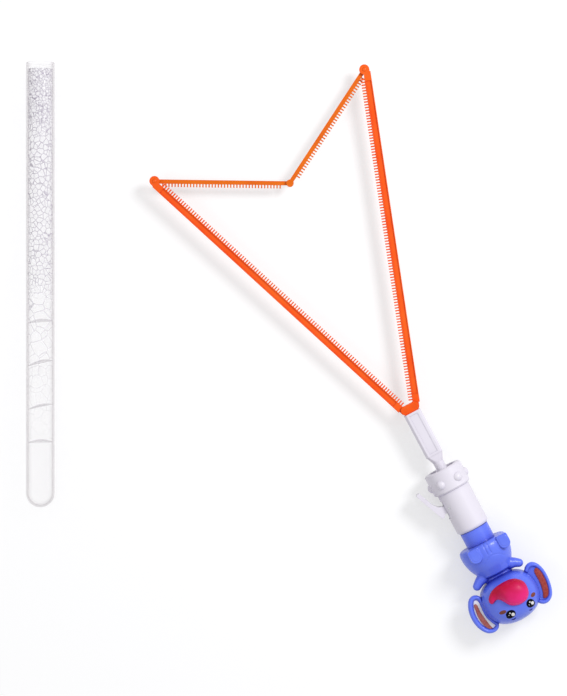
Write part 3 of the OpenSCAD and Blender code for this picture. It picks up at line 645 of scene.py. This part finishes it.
BODY_PROFILE = [
    # y and radius from the neck to the foot
    (0.0, 12.4), (4.0, 12.8), (7.6, 13.0), (8.5, 13.3), (9.1, 14.2), (10.2, 15.1), (12.0, 15.9), (14.6, 17.2),
    (18.0, 19.1), (22.5, 20.9), (27.5, 22.0), (32.0, 22.4), (35.4, 22.2), (37.4, 21.5), (38.5, 20.2),
    (FIGURE_FOOT, 18.4),
]
ARMS = {
    # x, y, height over the axis and radius along each raised arm
    "right": [(8.5, 16.4, 3.6, 4.4), (12.6, 11.8, 4.2, 5.4), (17.0, 9.9, 4.4, 4.4), (20.6, 7.7, 4.4, 3.7)],
    "left": [(-8.5, 15.2, 3.6, 4.4), (-12.6, 11.4, 4.2, 5.4), (-17.4, 9.0, 4.4, 4.4), (-21.3, 6.5, 4.4, 3.7)],
}
BELLY_LINE = [(12.6, 21.2), (9.6, 23.9), (6.1, 25.6), (2.3, 26.4), (-1.4, 25.7), (-4.9, 23.7), (-7.4, 21.7)]
CREASE_LINES = [[(2.9, 29.0), (2.7, 33.0), (2.7, 38.0)], [(-0.6, 29.0), (-0.5, 33.0), (-0.5, 38.0)]]


def stub_arm(rows):
    """One raised arm with round ends, in the figure's front half."""
    line = curve_through([(x, y, AXIS_Z + z, r) for x, y, z, r in rows], 6)
    return sweep("arm", line, sides=40, cap_steps=7)


FEET = {
    # x and y of the sole's middle, half width, half height and how far it stands over the axis
    "right": (17.1, 32.2, 5.2, 6.3, 20.6),
    "left": (-10.9, 31.9, 5.6, 6.4, 22.8),
}
FOOT_LOW = 3.0  # height over the axis at which a leg starts, inside the body
LEG_LEAN = 1.5  # how far a leg's root lies nearer to the body's middle than its sole


def arch(cx, cy, half_w, half_h, corner=1.6, round_steps=24, corner_steps=6):
    """Plan outline of a foot: round at the top, with small corners at the bottom."""
    bow = [math.pi * i / round_steps for i in range(round_steps + 1)]
    out = [(cx + half_w * math.cos(a), cy - half_h + half_w - half_w * math.sin(a)) for a in bow]
    for side in (-1, 1):
        for k in range(corner_steps + 1):
            a = math.pi / 2 * k / corner_steps
            across, down = (math.cos(a), math.sin(a)) if side < 0 else (math.sin(a), math.cos(a))
            x = cx + side * (half_w - corner + corner * across)
            out.append((x, cy + half_h - corner + corner * down))
    return out


def leg(cx, cy, half_w, half_h, top):
    """A leg stretched to the front, slim where it leaves the body, its sole a flat arch with a rolled rim."""
    outline = arch(cx, cy, half_w, half_h)
    inwards, end = -math.copysign(LEG_LEAN, cx), cy + half_h
    # Rows of scale, share of the lean and height, then rows of scale and height
    stem = [(0.82, 1.0, FOOT_LOW), (0.9, 0.55, top * 0.5), (0.97, 0.15, top * 0.75), (1.0, 0.0, top - 2.4)]
    rim = [(1.0, top - 1.2), (0.94, top - 0.35), (0.84, top)]
    rings = [[(cx + inwards * lean + (x - cx) * k, end + (y - end) * k, AXIS_Z + z) for x, y in outline]
             for k, lean, z in stem]
    rings += [[(cx + (x - cx) * k, cy + (y - cy) * k, AXIS_Z + z) for x, y in outline] for k, z in rim]
    return loft("leg", rings)


def line_distance(x, y, line):
    """Distance in the plan from (x, y) to a polyline."""
    best = math.inf
    for (ax, ay), (bx, by) in zip(line, line[1:]):
        dx, dy = bx - ax, by - ay
        t = max(0.0, min(1.0, ((x - ax) * dx + (y - ay) * dy) / (dx * dx + dy * dy)))
        best = min(best, math.hypot(x - ax - t * dx, y - ay - t * dy))
    return best


CARVED_FROM_Y = 18
CARVED_FACING = 0.25  # only what faces the front at least this much is carved
BELLY_GROOVE, CREASE_GROOVE, SOLE_GROOVE = (0.3, 0.45), (0.55, 0.55), (0.34, 0.5)  # depth and width


def carve(obj, lines, depth, width):
    """Presses soft grooves along plan lines into the front of a skin."""
    mesh = obj.data
    normals = [v.normal.copy() for v in mesh.vertices]
    for v, n in zip(mesh.vertices, normals):
        if n.z < CARVED_FACING or v.co.y < CARVED_FROM_Y * MM or v.co.z < AXIS_Z * MM:
            continue
        away = min(line_distance(v.co.x / MM, v.co.y / MM, line) for line in lines)
        if away < 3 * width:
            v.co -= n * (depth * MM * math.exp(-((away / width) ** 2)))


def lie_flat(obj, floor=0.0):
    """Moves what lies below the table's height up to it."""
    for v in obj.data.vertices:
        v.co.z = max(v.co.z, floor * MM)


# The four screws in the figure's back: each pair's place, as shares of the head's half width and of
# the figure's foot, then the height and radius of their counterbores and of the bosses round them
SCREW_PAIRS = ((0.42, -0.62), (0.4, 0.5))
SCREW_SPOTS = [(side * x * HEAD_RX, y * FIGURE_FOOT) for x, y in SCREW_PAIRS for side in (-1, 1)]
SCREW_TOP, SCREW_HOLE_R = 2.3, 2.6
SCREW_BOSS_TOP, SCREW_BOSS_R, SCREW_BOSS_ROLL = 7.0, 4.0, 1.5


def post(spot, low, high, radius, roll=0.0):
    """An upright round post at a place in the plan; roll rounds its upper rim."""
    rows = [(low, radius), (high - roll, radius)]
    if roll:
        rows.append((high, radius - roll))
    return loft("post", [ellipse_ring(Vector((*spot, z)), X_WAY, Y_WAY, r, r, 48) for z, r in rows])


def hollow_neck(obj, middle=6.9, reach=2.2, keep=0.68):
    """Draws the neck's front in under the chin, and leaves its width."""
    for v in obj.data.vertices:
        if v.co.z > AXIS_Z * MM:
            near = math.exp(-(((v.co.y / MM - middle) / reach) ** 4))
            v.co.z = (AXIS_Z + (v.co.z / MM - AXIS_Z) * (1 - (1 - keep) * near)) * MM


def sole_line(cx, cy, half_w, half_h):
    """The arch drawn on a sole, inside its rim."""
    return [(cx + (x - cx) * 0.74, cy + (y - cy) * 0.76 + 0.3) for x, y in arch(cx, cy, half_w, half_h)]


SKIN_BED = 0.12  # the parts lie this high before the remesh, which swells them a little
BODY_SHIFT = 0.1  # and the body lies this much nearer to the crown, so that its foot stays inside the CAD's
FIGURE_VOXEL, EAR_VOXEL = 0.42, 0.4
SMOOTH_ROUNDS = 5


def figure_skin():
    """Head, sitting body, arms, legs and screw bosses in one smooth skin, flat where the back lies."""
    head = lathe("head", head_profile())
    body = lathe("body", [(y - BODY_SHIFT, r) for y, r in curve_through(BODY_PROFILE, 4)])
    hollow_neck(body)
    parts = [head, body, *(stub_arm(rows) for rows in ARMS.values()), *(leg(*foot) for foot in FEET.values())]
    parts += [post(spot, SKIN_BED, SCREW_BOSS_TOP, SCREW_BOSS_R, SCREW_BOSS_ROLL) for spot in SCREW_SPOTS]
    for part in parts:
        lie_flat(part, SKIN_BED)
    skin = fused("figure_skin", parts, FIGURE_VOXEL, SMOOTH_ROUNDS)
    carve(skin, [curve_through(BELLY_LINE, 5)], *BELLY_GROOVE)
    carve(skin, CREASE_LINES, *CREASE_GROOVE)
    carve(skin, [sole_line(*foot[:4]) for foot in FEET.values()], *SOLE_GROOVE)
    lie_flat(skin)
    cut(skin, joined("screw_holes", [post(spot, -1.0, SCREW_TOP, SCREW_HOLE_R) for spot in SCREW_SPOTS]))
    wear(skin, "blue_plastic")
    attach(skin, "handle")
    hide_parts("elephant_front", "elephant_back", "arm_stubs")
    return skin


# Heights over the axis: the middle of an ear's rim, then the lower and upper face of each layer in it
EAR_MID_Z = 5.2
WEB_Z, WHITE_PATCH_Z = (3.2, 5.6), (5.2, 5.85)
LINING_LEFT_Z, LINING_RIGHT_Z = (5.3, 6.5), (5.3, 6.3)
# Rims as rows of x, y and radius; the left one is a closed loop, and the right one starts and ends in the head
EAR_RIM_LEFT = [
    (-20.9, -30.6, 1.5), (-23.0, -32.8, 1.8), (-26.9, -33.6, 2.0), (-31.6, -31.2, 2.2), (-35.2, -25.0, 2.3),
    (-36.5, -17.0, 2.4), (-35.4, -8.9, 2.4), (-32.2, -2.5, 2.3), (-28.6, -0.8, 2.1), (-25.2, -2.6, 1.9),
    (-24.2, -7.0, 1.6), (-25.2, -13.0, 1.5), (-25.4, -19.0, 1.5), (-23.8, -25.0, 1.5),
]
EAR_RIM_RIGHT = [
    (20.6, -29.8, 1.9), (23.4, -32.0, 2.0), (27.4, -32.2, 1.9), (31.6, -29.2, 1.7), (34.3, -22.9, 1.55),
    (35.5, -15.3, 1.5), (35.2, -7.6, 1.6), (33.0, -1.4, 1.8), (29.4, 1.6, 2.1), (25.6, 1.2, 2.1),
    (22.8, -1.2, 1.9),
]
EAR_ROOT_RIGHT = [(22.2, -8.0), (23.6, -16.0), (22.6, -24.0)]
LINING_LEFT = [
    (-26.0, -31.6), (-28.4, -31.4), (-30.9, -28.4), (-32.4, -23.8), (-33.0, -17.8), (-32.4, -11.8),
    (-31.6, -6.8), (-29.9, -6.1), (-28.8, -7.9), (-29.1, -12.8), (-28.7, -17.8), (-27.9, -23.8), (-26.7, -29.8),
]
LINING_RIGHT = [
    (25.0, -29.5), (27.4, -29.9), (29.9, -28.8), (31.9, -25.4), (33.4, -19.5), (34.0, -13.0), (34.1, -6.9),
    (33.0, -3.7), (31.2, -2.9), (29.3, -3.9), (28.4, -6.4), (28.5, -13.0), (28.1, -19.0), (26.8, -24.6),
    (25.3, -27.8),
]
# A thin white layer under and round the left ear's lining
WHITE_PATCH_LEFT = [
    (-22.6, -30.6), (-26.6, -32.2), (-31.2, -29.0), (-33.9, -23.4), (-34.9, -17.0), (-33.9, -9.6),
    (-31.2, -4.0), (-28.6, -2.8), (-26.4, -5.6), (-26.6, -12.0), (-26.6, -18.0), (-25.2, -24.6),
]


def inset(ring, distance):
    """A closed outline moved inwards by a small distance."""
    turn = sum(a[0] * b[1] - b[0] * a[1] for a, b in zip(ring, ring[1:] + ring[:1]))
    sign = math.copysign(1, turn)
    out = []
    for i, (x, y) in enumerate(ring):
        before, after = ring[i - 1], ring[(i + 1) % len(ring)]
        dx, dy = after[0] - before[0], after[1] - before[1]
        length = math.hypot(dx, dy) or 1.0
        out.append((x - sign * distance * dy / length, y + sign * distance * dx / length))
    return out


def flat_pad(name, outline, low, high, steps=4, roll=0.35):
    """A closed pad with a plan outline between two heights over the axis, its rim rolled."""
    ring = curve_through([*outline, outline[0]], steps)[:-1]
    # How far each row lies inside the outline, and its height
    rows = [(0.2, low), (0.0, low + 0.15), (0.0, high - roll), (roll * 0.3, high - roll * 0.3), (roll, high)]
    count = len(ring)
    points, faces = [], []
    for distance, z in rows:
        points += [(x, y, AXIS_Z + z) for x, y in inset(ring, distance)]
    for i in range(len(rows) - 1):
        faces += band(i * count, (i + 1) * count, count)
    faces += [tuple(range(count)), tuple(range((len(rows) - 1) * count, len(rows) * count))]
    return make_mesh(name, points, faces)


def ear_skin(name, rim, root, node):
    """One ear: a thick rolled rim round a thin web, in one skin; root closes the web of an open rim."""
    closed = not root
    line = curve_through([*rim, rim[0]], 6)[:-1] if closed else curve_through(rim, 6)
    spine = [(x, y, AXIS_Z + EAR_MID_Z, r) for x, y, r in line]
    edge = sweep("rim", spine, sides=28, flat=1.45, closed=closed, cap_steps=6)
    web = flat_pad("web", [*((x, y) for x, y, _ in rim), *root], *WEB_Z)
    skin = fused(name, [edge, web], EAR_VOXEL, SMOOTH_ROUNDS)
    wear(skin, "blue_plastic")
    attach(skin, "handle")
    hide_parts(node)


def ears():
    """Both ears, their red-brown linings and a thin white layer beside the lining of one of them."""
    ear_skin("ear_skin_left", EAR_RIM_LEFT, [], "ear_left")
    ear_skin("ear_skin_right", EAR_RIM_RIGHT, EAR_ROOT_RIGHT, "ear_right")
    pads = [flat_pad("left", LINING_LEFT, *LINING_LEFT_Z), flat_pad("right", LINING_RIGHT, *LINING_RIGHT_Z)]
    lining = joined("ear_lining_films", pads)
    wear(lining, "brown_paint")
    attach(lining, "handle")
    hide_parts("ear_linings")
    patch_piece = flat_pad("ear_white_patch_piece", WHITE_PATCH_LEFT, *WHITE_PATCH_Z)
    wear(patch_piece, "white_plastic", WHITE_INK)
    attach(patch_piece, "handle")


TRUNK_FLAT = 0.78  # its height as a share of its width
TRUNK_Z = HEAD_RX * 0.93
TRUNK_SLICES = [
    # x, upper and lower edge, and how far the slice's middle drops towards the cheek
    (16.25, -10.9, -9.4, 0), (16.1, -12.6, -7.7, 0), (15.7, -14.4, -6.2, 0), (14.9, -16.5, -4.6, 0),
    (13.4, -18.6, -2.8, 0), (11.7, -20.0, -1.2, 0), (9.6, -21.0, 0.2, 0), (7.0, -21.6, 1.1, 0),
    (4.5, -21.75, 1.6, 0), (1.9, -21.4, 1.8, 0), (-1.1, -20.4, 1.8, 0), (-4.1, -18.5, 1.6, 0.15),
    (-6.1, -16.1, 1.35, 0.5), (-7.8, -13.3, 1.0, 1.0), (-9.7, -10.7, 0.45, 1.7), (-11.6, -9.55, -0.3, 2.4),
    (-13.6, -9.6, -1.4, 3.0), (-15.2, -10.4, -2.6, 3.35), (-16.6, -10.95, -3.9, 3.6),
    (-17.7, -10.65, -5.3, 3.8), (-18.45, -9.9, -6.6, 3.9), (-18.75, -8.9, -7.7, 3.95),
]


def trunk():
    """The pink trunk: a round bulb that runs out into a thick tail with an upturned tip."""
    rows = [(x, (high + low) / 2, TRUNK_Z - drop, (low - high) / 2) for x, high, low, drop in TRUNK_SLICES]
    rings = [ellipse_ring(Vector((x, y, AXIS_Z + z)), Y_WAY, Z_WAY, half, half * TRUNK_FLAT, 72)
             for x, y, z, half in curve_through(rows, 4)]
    body = loft("trunk_skin", rings)
    wear(body, "pink_plastic")
    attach(body, "handle")
    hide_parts("trunk")


EYES = {
    # x and y share of the head, half width, half height, side of the lash, (dx, dy, r) of each light,
    # and (dx, dy) of the spark
    "right": (0.465, -0.485, 3.75, 3.9, 1, [(1.75, -0.65, 1.4), (0.0, 1.4, 0.66)], (-1.65, -0.5)),
    "left": (-0.275, -0.485, 4.25, 3.7, -1, [(1.65, -1.1, 1.5), (-0.3, 1.2, 0.62)], (-1.95, -0.3)),
}
# x and y share of the head and half width, and for the cheeks half height and turn too
BROWS = {"right": (0.39, -0.75, 1.75), "left": (-0.253, -0.755, 2.0)}
CHEEKS = {"right": (0.675, -0.25, 2.4, 1.75, 6), "left": (-0.48, -0.28, 3.1, 1.7, -4)}
DIAGONAL = 1.414
LASH_FROM = 0.72  # share of the way from the eye's middle to its upper corner where the lash begins
LASH_OUT, LASH_UP = 0.5, 0.28
SPARK_LONG, SPARK_SHORT = 0.72, 0.2
EYE_LIFT, LIGHT_LIFT, SPARK_LIFT, BROW_LIFT, CHEEK_LIFT = 0.4, 0.12, 0.1, 0.3, 0.25


def on_head(x_share, y_share):
    """A place in the plan from shares of the head's half axes."""
    return x_share * HEAD_RX, HEAD_Y + y_share * HEAD_RY


def eye_outline(cx, cy, rx, ry, lash):
    """A round eye whose outer upper corner is drawn up a little."""
    out = []
    for x, y in oval(cx, cy, rx, ry, power=2.05, count=48):
        corner = ((x - cx) * lash / rx - (y - cy) / ry) / DIAGONAL
        reach = max(0.0, corner - LASH_FROM) / (1 - LASH_FROM)
        out.append((x + lash * LASH_OUT * reach, y - LASH_UP * reach))
    return out


def star(cx, cy):
    """A small four-pointed spark."""
    points = []
    for i in range(8):
        r = SPARK_SHORT if i % 2 else SPARK_LONG
        points.append((cx + r * math.cos(math.pi * i / 4), cy + r * math.sin(math.pi * i / 4)))
    return points


def eye_prints(tree):
    """Eyes as low domes, and the white lights printed on them."""
    eyes, lights = [], []
    for x_share, y_share, rx, ry, lash, spots, (spark_x, spark_y) in EYES.values():
        cx, cy = on_head(x_share, y_share)
        eye = pad_on("eye", tree, (cx, cy), eye_outline(cx, cy, rx, ry, lash), EYE_LIFT, crown=0.7)
        dome = surface_of(eye)
        for dx, dy, r in spots:
            at = (cx + dx, cy + dy)
            outline = oval(*at, r, r * 1.1, count=28)
            lights.append(pad_on("light", dome, at, outline, LIGHT_LIFT, sink=0.15, crown=0.3))
        at = (cx + spark_x, cy + spark_y)
        lights.append(pad_on("spark", dome, at, star(*at), SPARK_LIFT, sink=0.15, crown=0.3))
        eyes.append(eye)
    return eyes, lights


# A brow at six places along its half width from -1 to 1, and how thick it is there
BROW_ROWS = ((-1, 0.3), (-0.6, 0.85), (-0.2, 1.1), (0.2, 1.1), (0.6, 0.85), (1, 0.3))
BROW_RISE, BROW_ARCH = 0.55, 1.15


def brow_print(tree, cx, cy, half):
    """An arched brow, thickest in the middle."""
    over = [(cx + half * u, cy - BROW_RISE + BROW_ARCH * abs(u) ** 1.7) for u, _ in BROW_ROWS]
    under = [(x, y + thick) for (x, y), (_, thick) in zip(over, BROW_ROWS)]
    outline = curve_through([*over, *reversed(under), over[0]], 3)[:-1]
    return pad_on("brow", tree, (cx, cy + 0.1), outline, BROW_LIFT)


def face(skin):
    """Printed eyes, brows and cheeks, each a thin closed layer on the head."""
    tree = surface_of(skin)
    eyes, lights = eye_prints(tree)
    brows = [brow_print(tree, *on_head(x, y), half) for x, y, half in BROWS.values()]
    cheeks = []
    for x, y, rx, ry, turn in CHEEKS.values():
        at = on_head(x, y)
        cheeks.append(pad_on("cheek", tree, at, oval(*at, rx, ry, turn), CHEEK_LIFT, crown=0.9))
    for name, parts, slot, node, material in (
        ("eye_prints", eyes, "ink_paint", "eyes", None),
        ("eye_lights", lights, "white_plastic", None, WHITE_INK),
        ("brow_prints", brows, "brow_paint", "eyebrows", None),
        ("cheek_prints", cheeks, "cheek_paint", "cheeks", None),
    ):
        piece = joined(name, parts)
        wear(piece, slot, material)
        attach(piece, "handle")
        if node:
            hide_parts(node)


# ---------------------------------------------------------------- foam and films in the tube


def tube_frame():
    """The tube's mouth, direction to its round end, level cross direction and outer radius."""
    mount = next(m for m in frame["record"]["mounts"] if m["name"] == "tube_bore")
    up = Vector(mount["axis"]).normalized()
    low, high = node_box("tube")
    middle_z = (low.z + high.z) / 2
    outer = (high.z - low.z) / 2
    side = Vector((up.y, -up.x, 0))
    # The mouth's far corner touches the box in y, and its near corner in x
    mouth = Vector((high.x - outer * abs(side.x), high.y - outer * abs(side.y), middle_z))
    return mouth, -up, side, outer


TUBE_MOUTH, TUBE_WAY, TUBE_SIDE, TUBE_R = tube_frame()
TUBE_LEN = 388.0
FOAM_R = TUBE_R - 1.45  # just inside the wall
FOAM_FRONT = [(7.0, 0.55), (6.0, 0.8), (5.4, 0.93), (5.6, 1.0)]  # depth from the mouth, share of the radius
FOAM_END_GAP = 0.4
FILM_PLACES = (226, 262, 300, 331)  # depths from the mouth
FILM_STEPS = 8
FILM_THICK = 0.45
FILM_REACH = 0.985  # share of the foam's radius
FILM_LEAN, FILM_BULGE = 0.25, (2.2, 3.6)  # the most a film leans, and the least and most that it bulges


def ring_in_tube(depth, radius, sides):
    """Points of a circle across the tube, depth millimetres from its mouth."""
    return ellipse_ring(TUBE_MOUTH + TUBE_WAY * depth, TUBE_SIDE, Z_WAY, radius, radius, sides)


def foam_column(steps=120, cap_steps=12):
    """Foam that fills the tube, with the distance from the mouth stored on its points."""
    start, end = FOAM_FRONT[-1][0], TUBE_LEN - TUBE_R - FOAM_END_GAP
    rows = [*FOAM_FRONT, *((start + (end - start) * i / steps, 1.0) for i in range(1, steps + 1))]
    for k in range(1, cap_steps + 1):
        t = math.pi / 2 * k / (cap_steps + 0.3)
        rows.append((end + FOAM_R * math.sin(t), math.cos(t)))
    obj = loft("foam_column", [ring_in_tube(depth, FOAM_R * share, 48) for depth, share in rows])
    along = obj.data.attributes.new("along", "FLOAT", "POINT")
    for i, v in enumerate(obj.data.vertices):
        along.data[i].value = (v.co / MM - TUBE_MOUTH).dot(TUBE_WAY)
    wear(obj, "clear_tube", foam_skin())
    obj.visible_shadow = False
    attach(obj, "tube")


def soap_film(at, lean, bulge):
    """One film across the tube: a shallow dome with two faces, leaning a little."""
    rings = []
    for offset, order in ((0.0, range(FILM_STEPS + 1)), (FILM_THICK, range(FILM_STEPS, -1, -1))):
        for k in order:
            r = FOAM_R * FILM_REACH * max(0.02, k / FILM_STEPS)
            depth = at + offset + bulge * (1 - (r / FOAM_R) ** 2)
            ring = [Vector(p) for p in ring_in_tube(depth, r, 40)]
            rings.append([tuple(p + TUBE_WAY * lean * (p - TUBE_MOUTH).dot(TUBE_SIDE)) for p in ring])
    return loft("film", rings)


def soap_films():
    """The films that span the tube below the dense foam."""
    rng = random.Random(7)
    parts = []
    for at in FILM_PLACES:
        lean = rng.uniform(-FILM_LEAN, FILM_LEAN)
        bulge = rng.choice((-1, 1)) * rng.uniform(*FILM_BULGE)
        parts.append(soap_film(at, lean, bulge))
    films = joined("soap_films", parts)
    wear(films, "clear_tube", film_skin())
    films.visible_shadow = False
    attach(films, "tube")


# ---------------------------------------------------------------- floor, light and camera


# Metres from here on. The photo's up is the tube's direction from its round end to its mouth
UP = Vector((-TUBE_WAY.x, -TUBE_WAY.y, 0))
RIGHT = Vector((UP.y, -UP.x, 0))
VIEW_HEIGHT = 0.606  # of what the picture shows
VIEW_CENTRE = RIGHT * -0.190 + UP * 0.203
LENS, SENSOR = 120.0, 36.0
AMBIENT = 0.54
FLOOR_SIZE, FLOOR_DROP = 6.0, 0.0002
FLOOR_GREY = (0.55, 0.55, 0.56, 1)
FLOOR_GLOW = 0.52  # what the floor's own colour lacks to white in view
LAMP_SIZE = 0.6
# Name, place right, up and over the view's middle, and watts
LAMPS = (("key", 0.95, 0.7, 1.25, 14.8), ("fill", -0.9, -0.2, 1.2, 1.5))


def is_seen(tree):
    """1 for camera, glossy and transmission rays."""
    path = tree.nodes.new("ShaderNodeLightPath")
    total = path.outputs["Is Camera Ray"]
    for key in ("Is Glossy Ray", "Is Transmission Ray"):
        add = tree.nodes.new("ShaderNodeMath")
        add.operation = "ADD"
        add.use_clamp = True
        tree.links.new(total, add.inputs[0])
        tree.links.new(path.outputs[key], add.inputs[1])
        total = add.outputs[0]
    return total


def white_world():
    """White where it is seen, and a plain soft light from all sides."""
    world = bpy.data.worlds.new("studio")
    bpy.context.scene.world = world
    world.use_nodes = True
    tree = world.node_tree
    back = tree.nodes["Background"]
    back.inputs["Color"].default_value = (1, 1, 1, 1)
    strength = tree.nodes.new("ShaderNodeMapRange")
    strength.inputs["To Min"].default_value = AMBIENT
    strength.inputs["To Max"].default_value = 1.0
    tree.links.new(is_seen(tree), strength.inputs["Value"])
    tree.links.new(strength.outputs["Result"], back.inputs["Strength"])


def white_floor():
    """A white floor that stays white in view and keeps the soft shadows."""
    mesh = bpy.data.meshes.new("floor")
    corners = [(x * FLOOR_SIZE, y * FLOOR_SIZE, 0) for x, y in ((-1, -1), (1, -1), (1, 1), (-1, 1))]
    mesh.from_pydata(corners, [], [(0, 1, 2, 3)])
    floor = linked("floor", mesh)
    floor.location.z = -FLOOR_DROP
    material = bpy.data.materials.new("floor_white")
    material.use_nodes = True
    tree = material.node_tree
    bsdf = tree.nodes["Principled BSDF"]
    bsdf.inputs["Base Color"].default_value = FLOOR_GREY
    bsdf.inputs["Roughness"].default_value = 0.9
    bsdf.inputs["Specular IOR Level"].default_value = 0.0
    glow = tree.nodes.new("ShaderNodeEmission")
    glow.inputs["Color"].default_value = (1, 1, 1, 1)
    strength = tree.nodes.new("ShaderNodeMath")
    strength.operation = "MULTIPLY"
    strength.inputs[1].default_value = FLOOR_GLOW
    tree.links.new(is_seen(tree), strength.inputs[0])
    tree.links.new(strength.outputs[0], glow.inputs["Strength"])
    add = tree.nodes.new("ShaderNodeAddShader")
    tree.links.new(bsdf.outputs[0], add.inputs[0])
    tree.links.new(glow.outputs[0], add.inputs[1])
    tree.links.new(add.outputs[0], tree.nodes["Material Output"].inputs["Surface"])
    mesh.materials.append(material)


def soft_lamp(name, right, up, height, watts):
    """A round lamp that looks at the view's middle."""
    data = bpy.data.lights.new(name, "AREA")
    data.shape = "DISK"
    data.size = LAMP_SIZE
    data.energy = watts
    lamp = linked(name, data)
    lamp.location = VIEW_CENTRE + UP * up + RIGHT * right + Z_WAY * height
    lamp.rotation_euler = (VIEW_CENTRE - lamp.location).to_track_quat("-Z", "Y").to_euler()


def camera():
    """A long lens that looks straight down, as the photo does."""
    data = bpy.data.cameras.new("camera")
    data.lens = LENS
    data.sensor_width = SENSOR
    data.sensor_fit = "AUTO"
    data.clip_start = 0.01
    data.clip_end = 30.0
    obj = linked("camera", data)
    distance = VIEW_HEIGHT * LENS / SENSOR
    obj.location = VIEW_CENTRE + Vector((0, 0, distance + AXIS_Z * MM))
    obj.rotation_euler = (0, 0, math.atan2(RIGHT.y, RIGHT.x))
    bpy.context.scene.camera = obj


dress_cad()
skin = figure_skin()
ears()
trunk()
face(skin)
foam_column()
soap_films()
camera()
white_world()
for lamp in LAMPS:
    soft_lamp(*lamp)
white_floor()
bpy.context.scene.view_settings.view_transform = "Standard"
# Both walls of the tube, its foam and its films lie behind one another
bpy.context.scene.cycles.transparent_max_bounces = 24
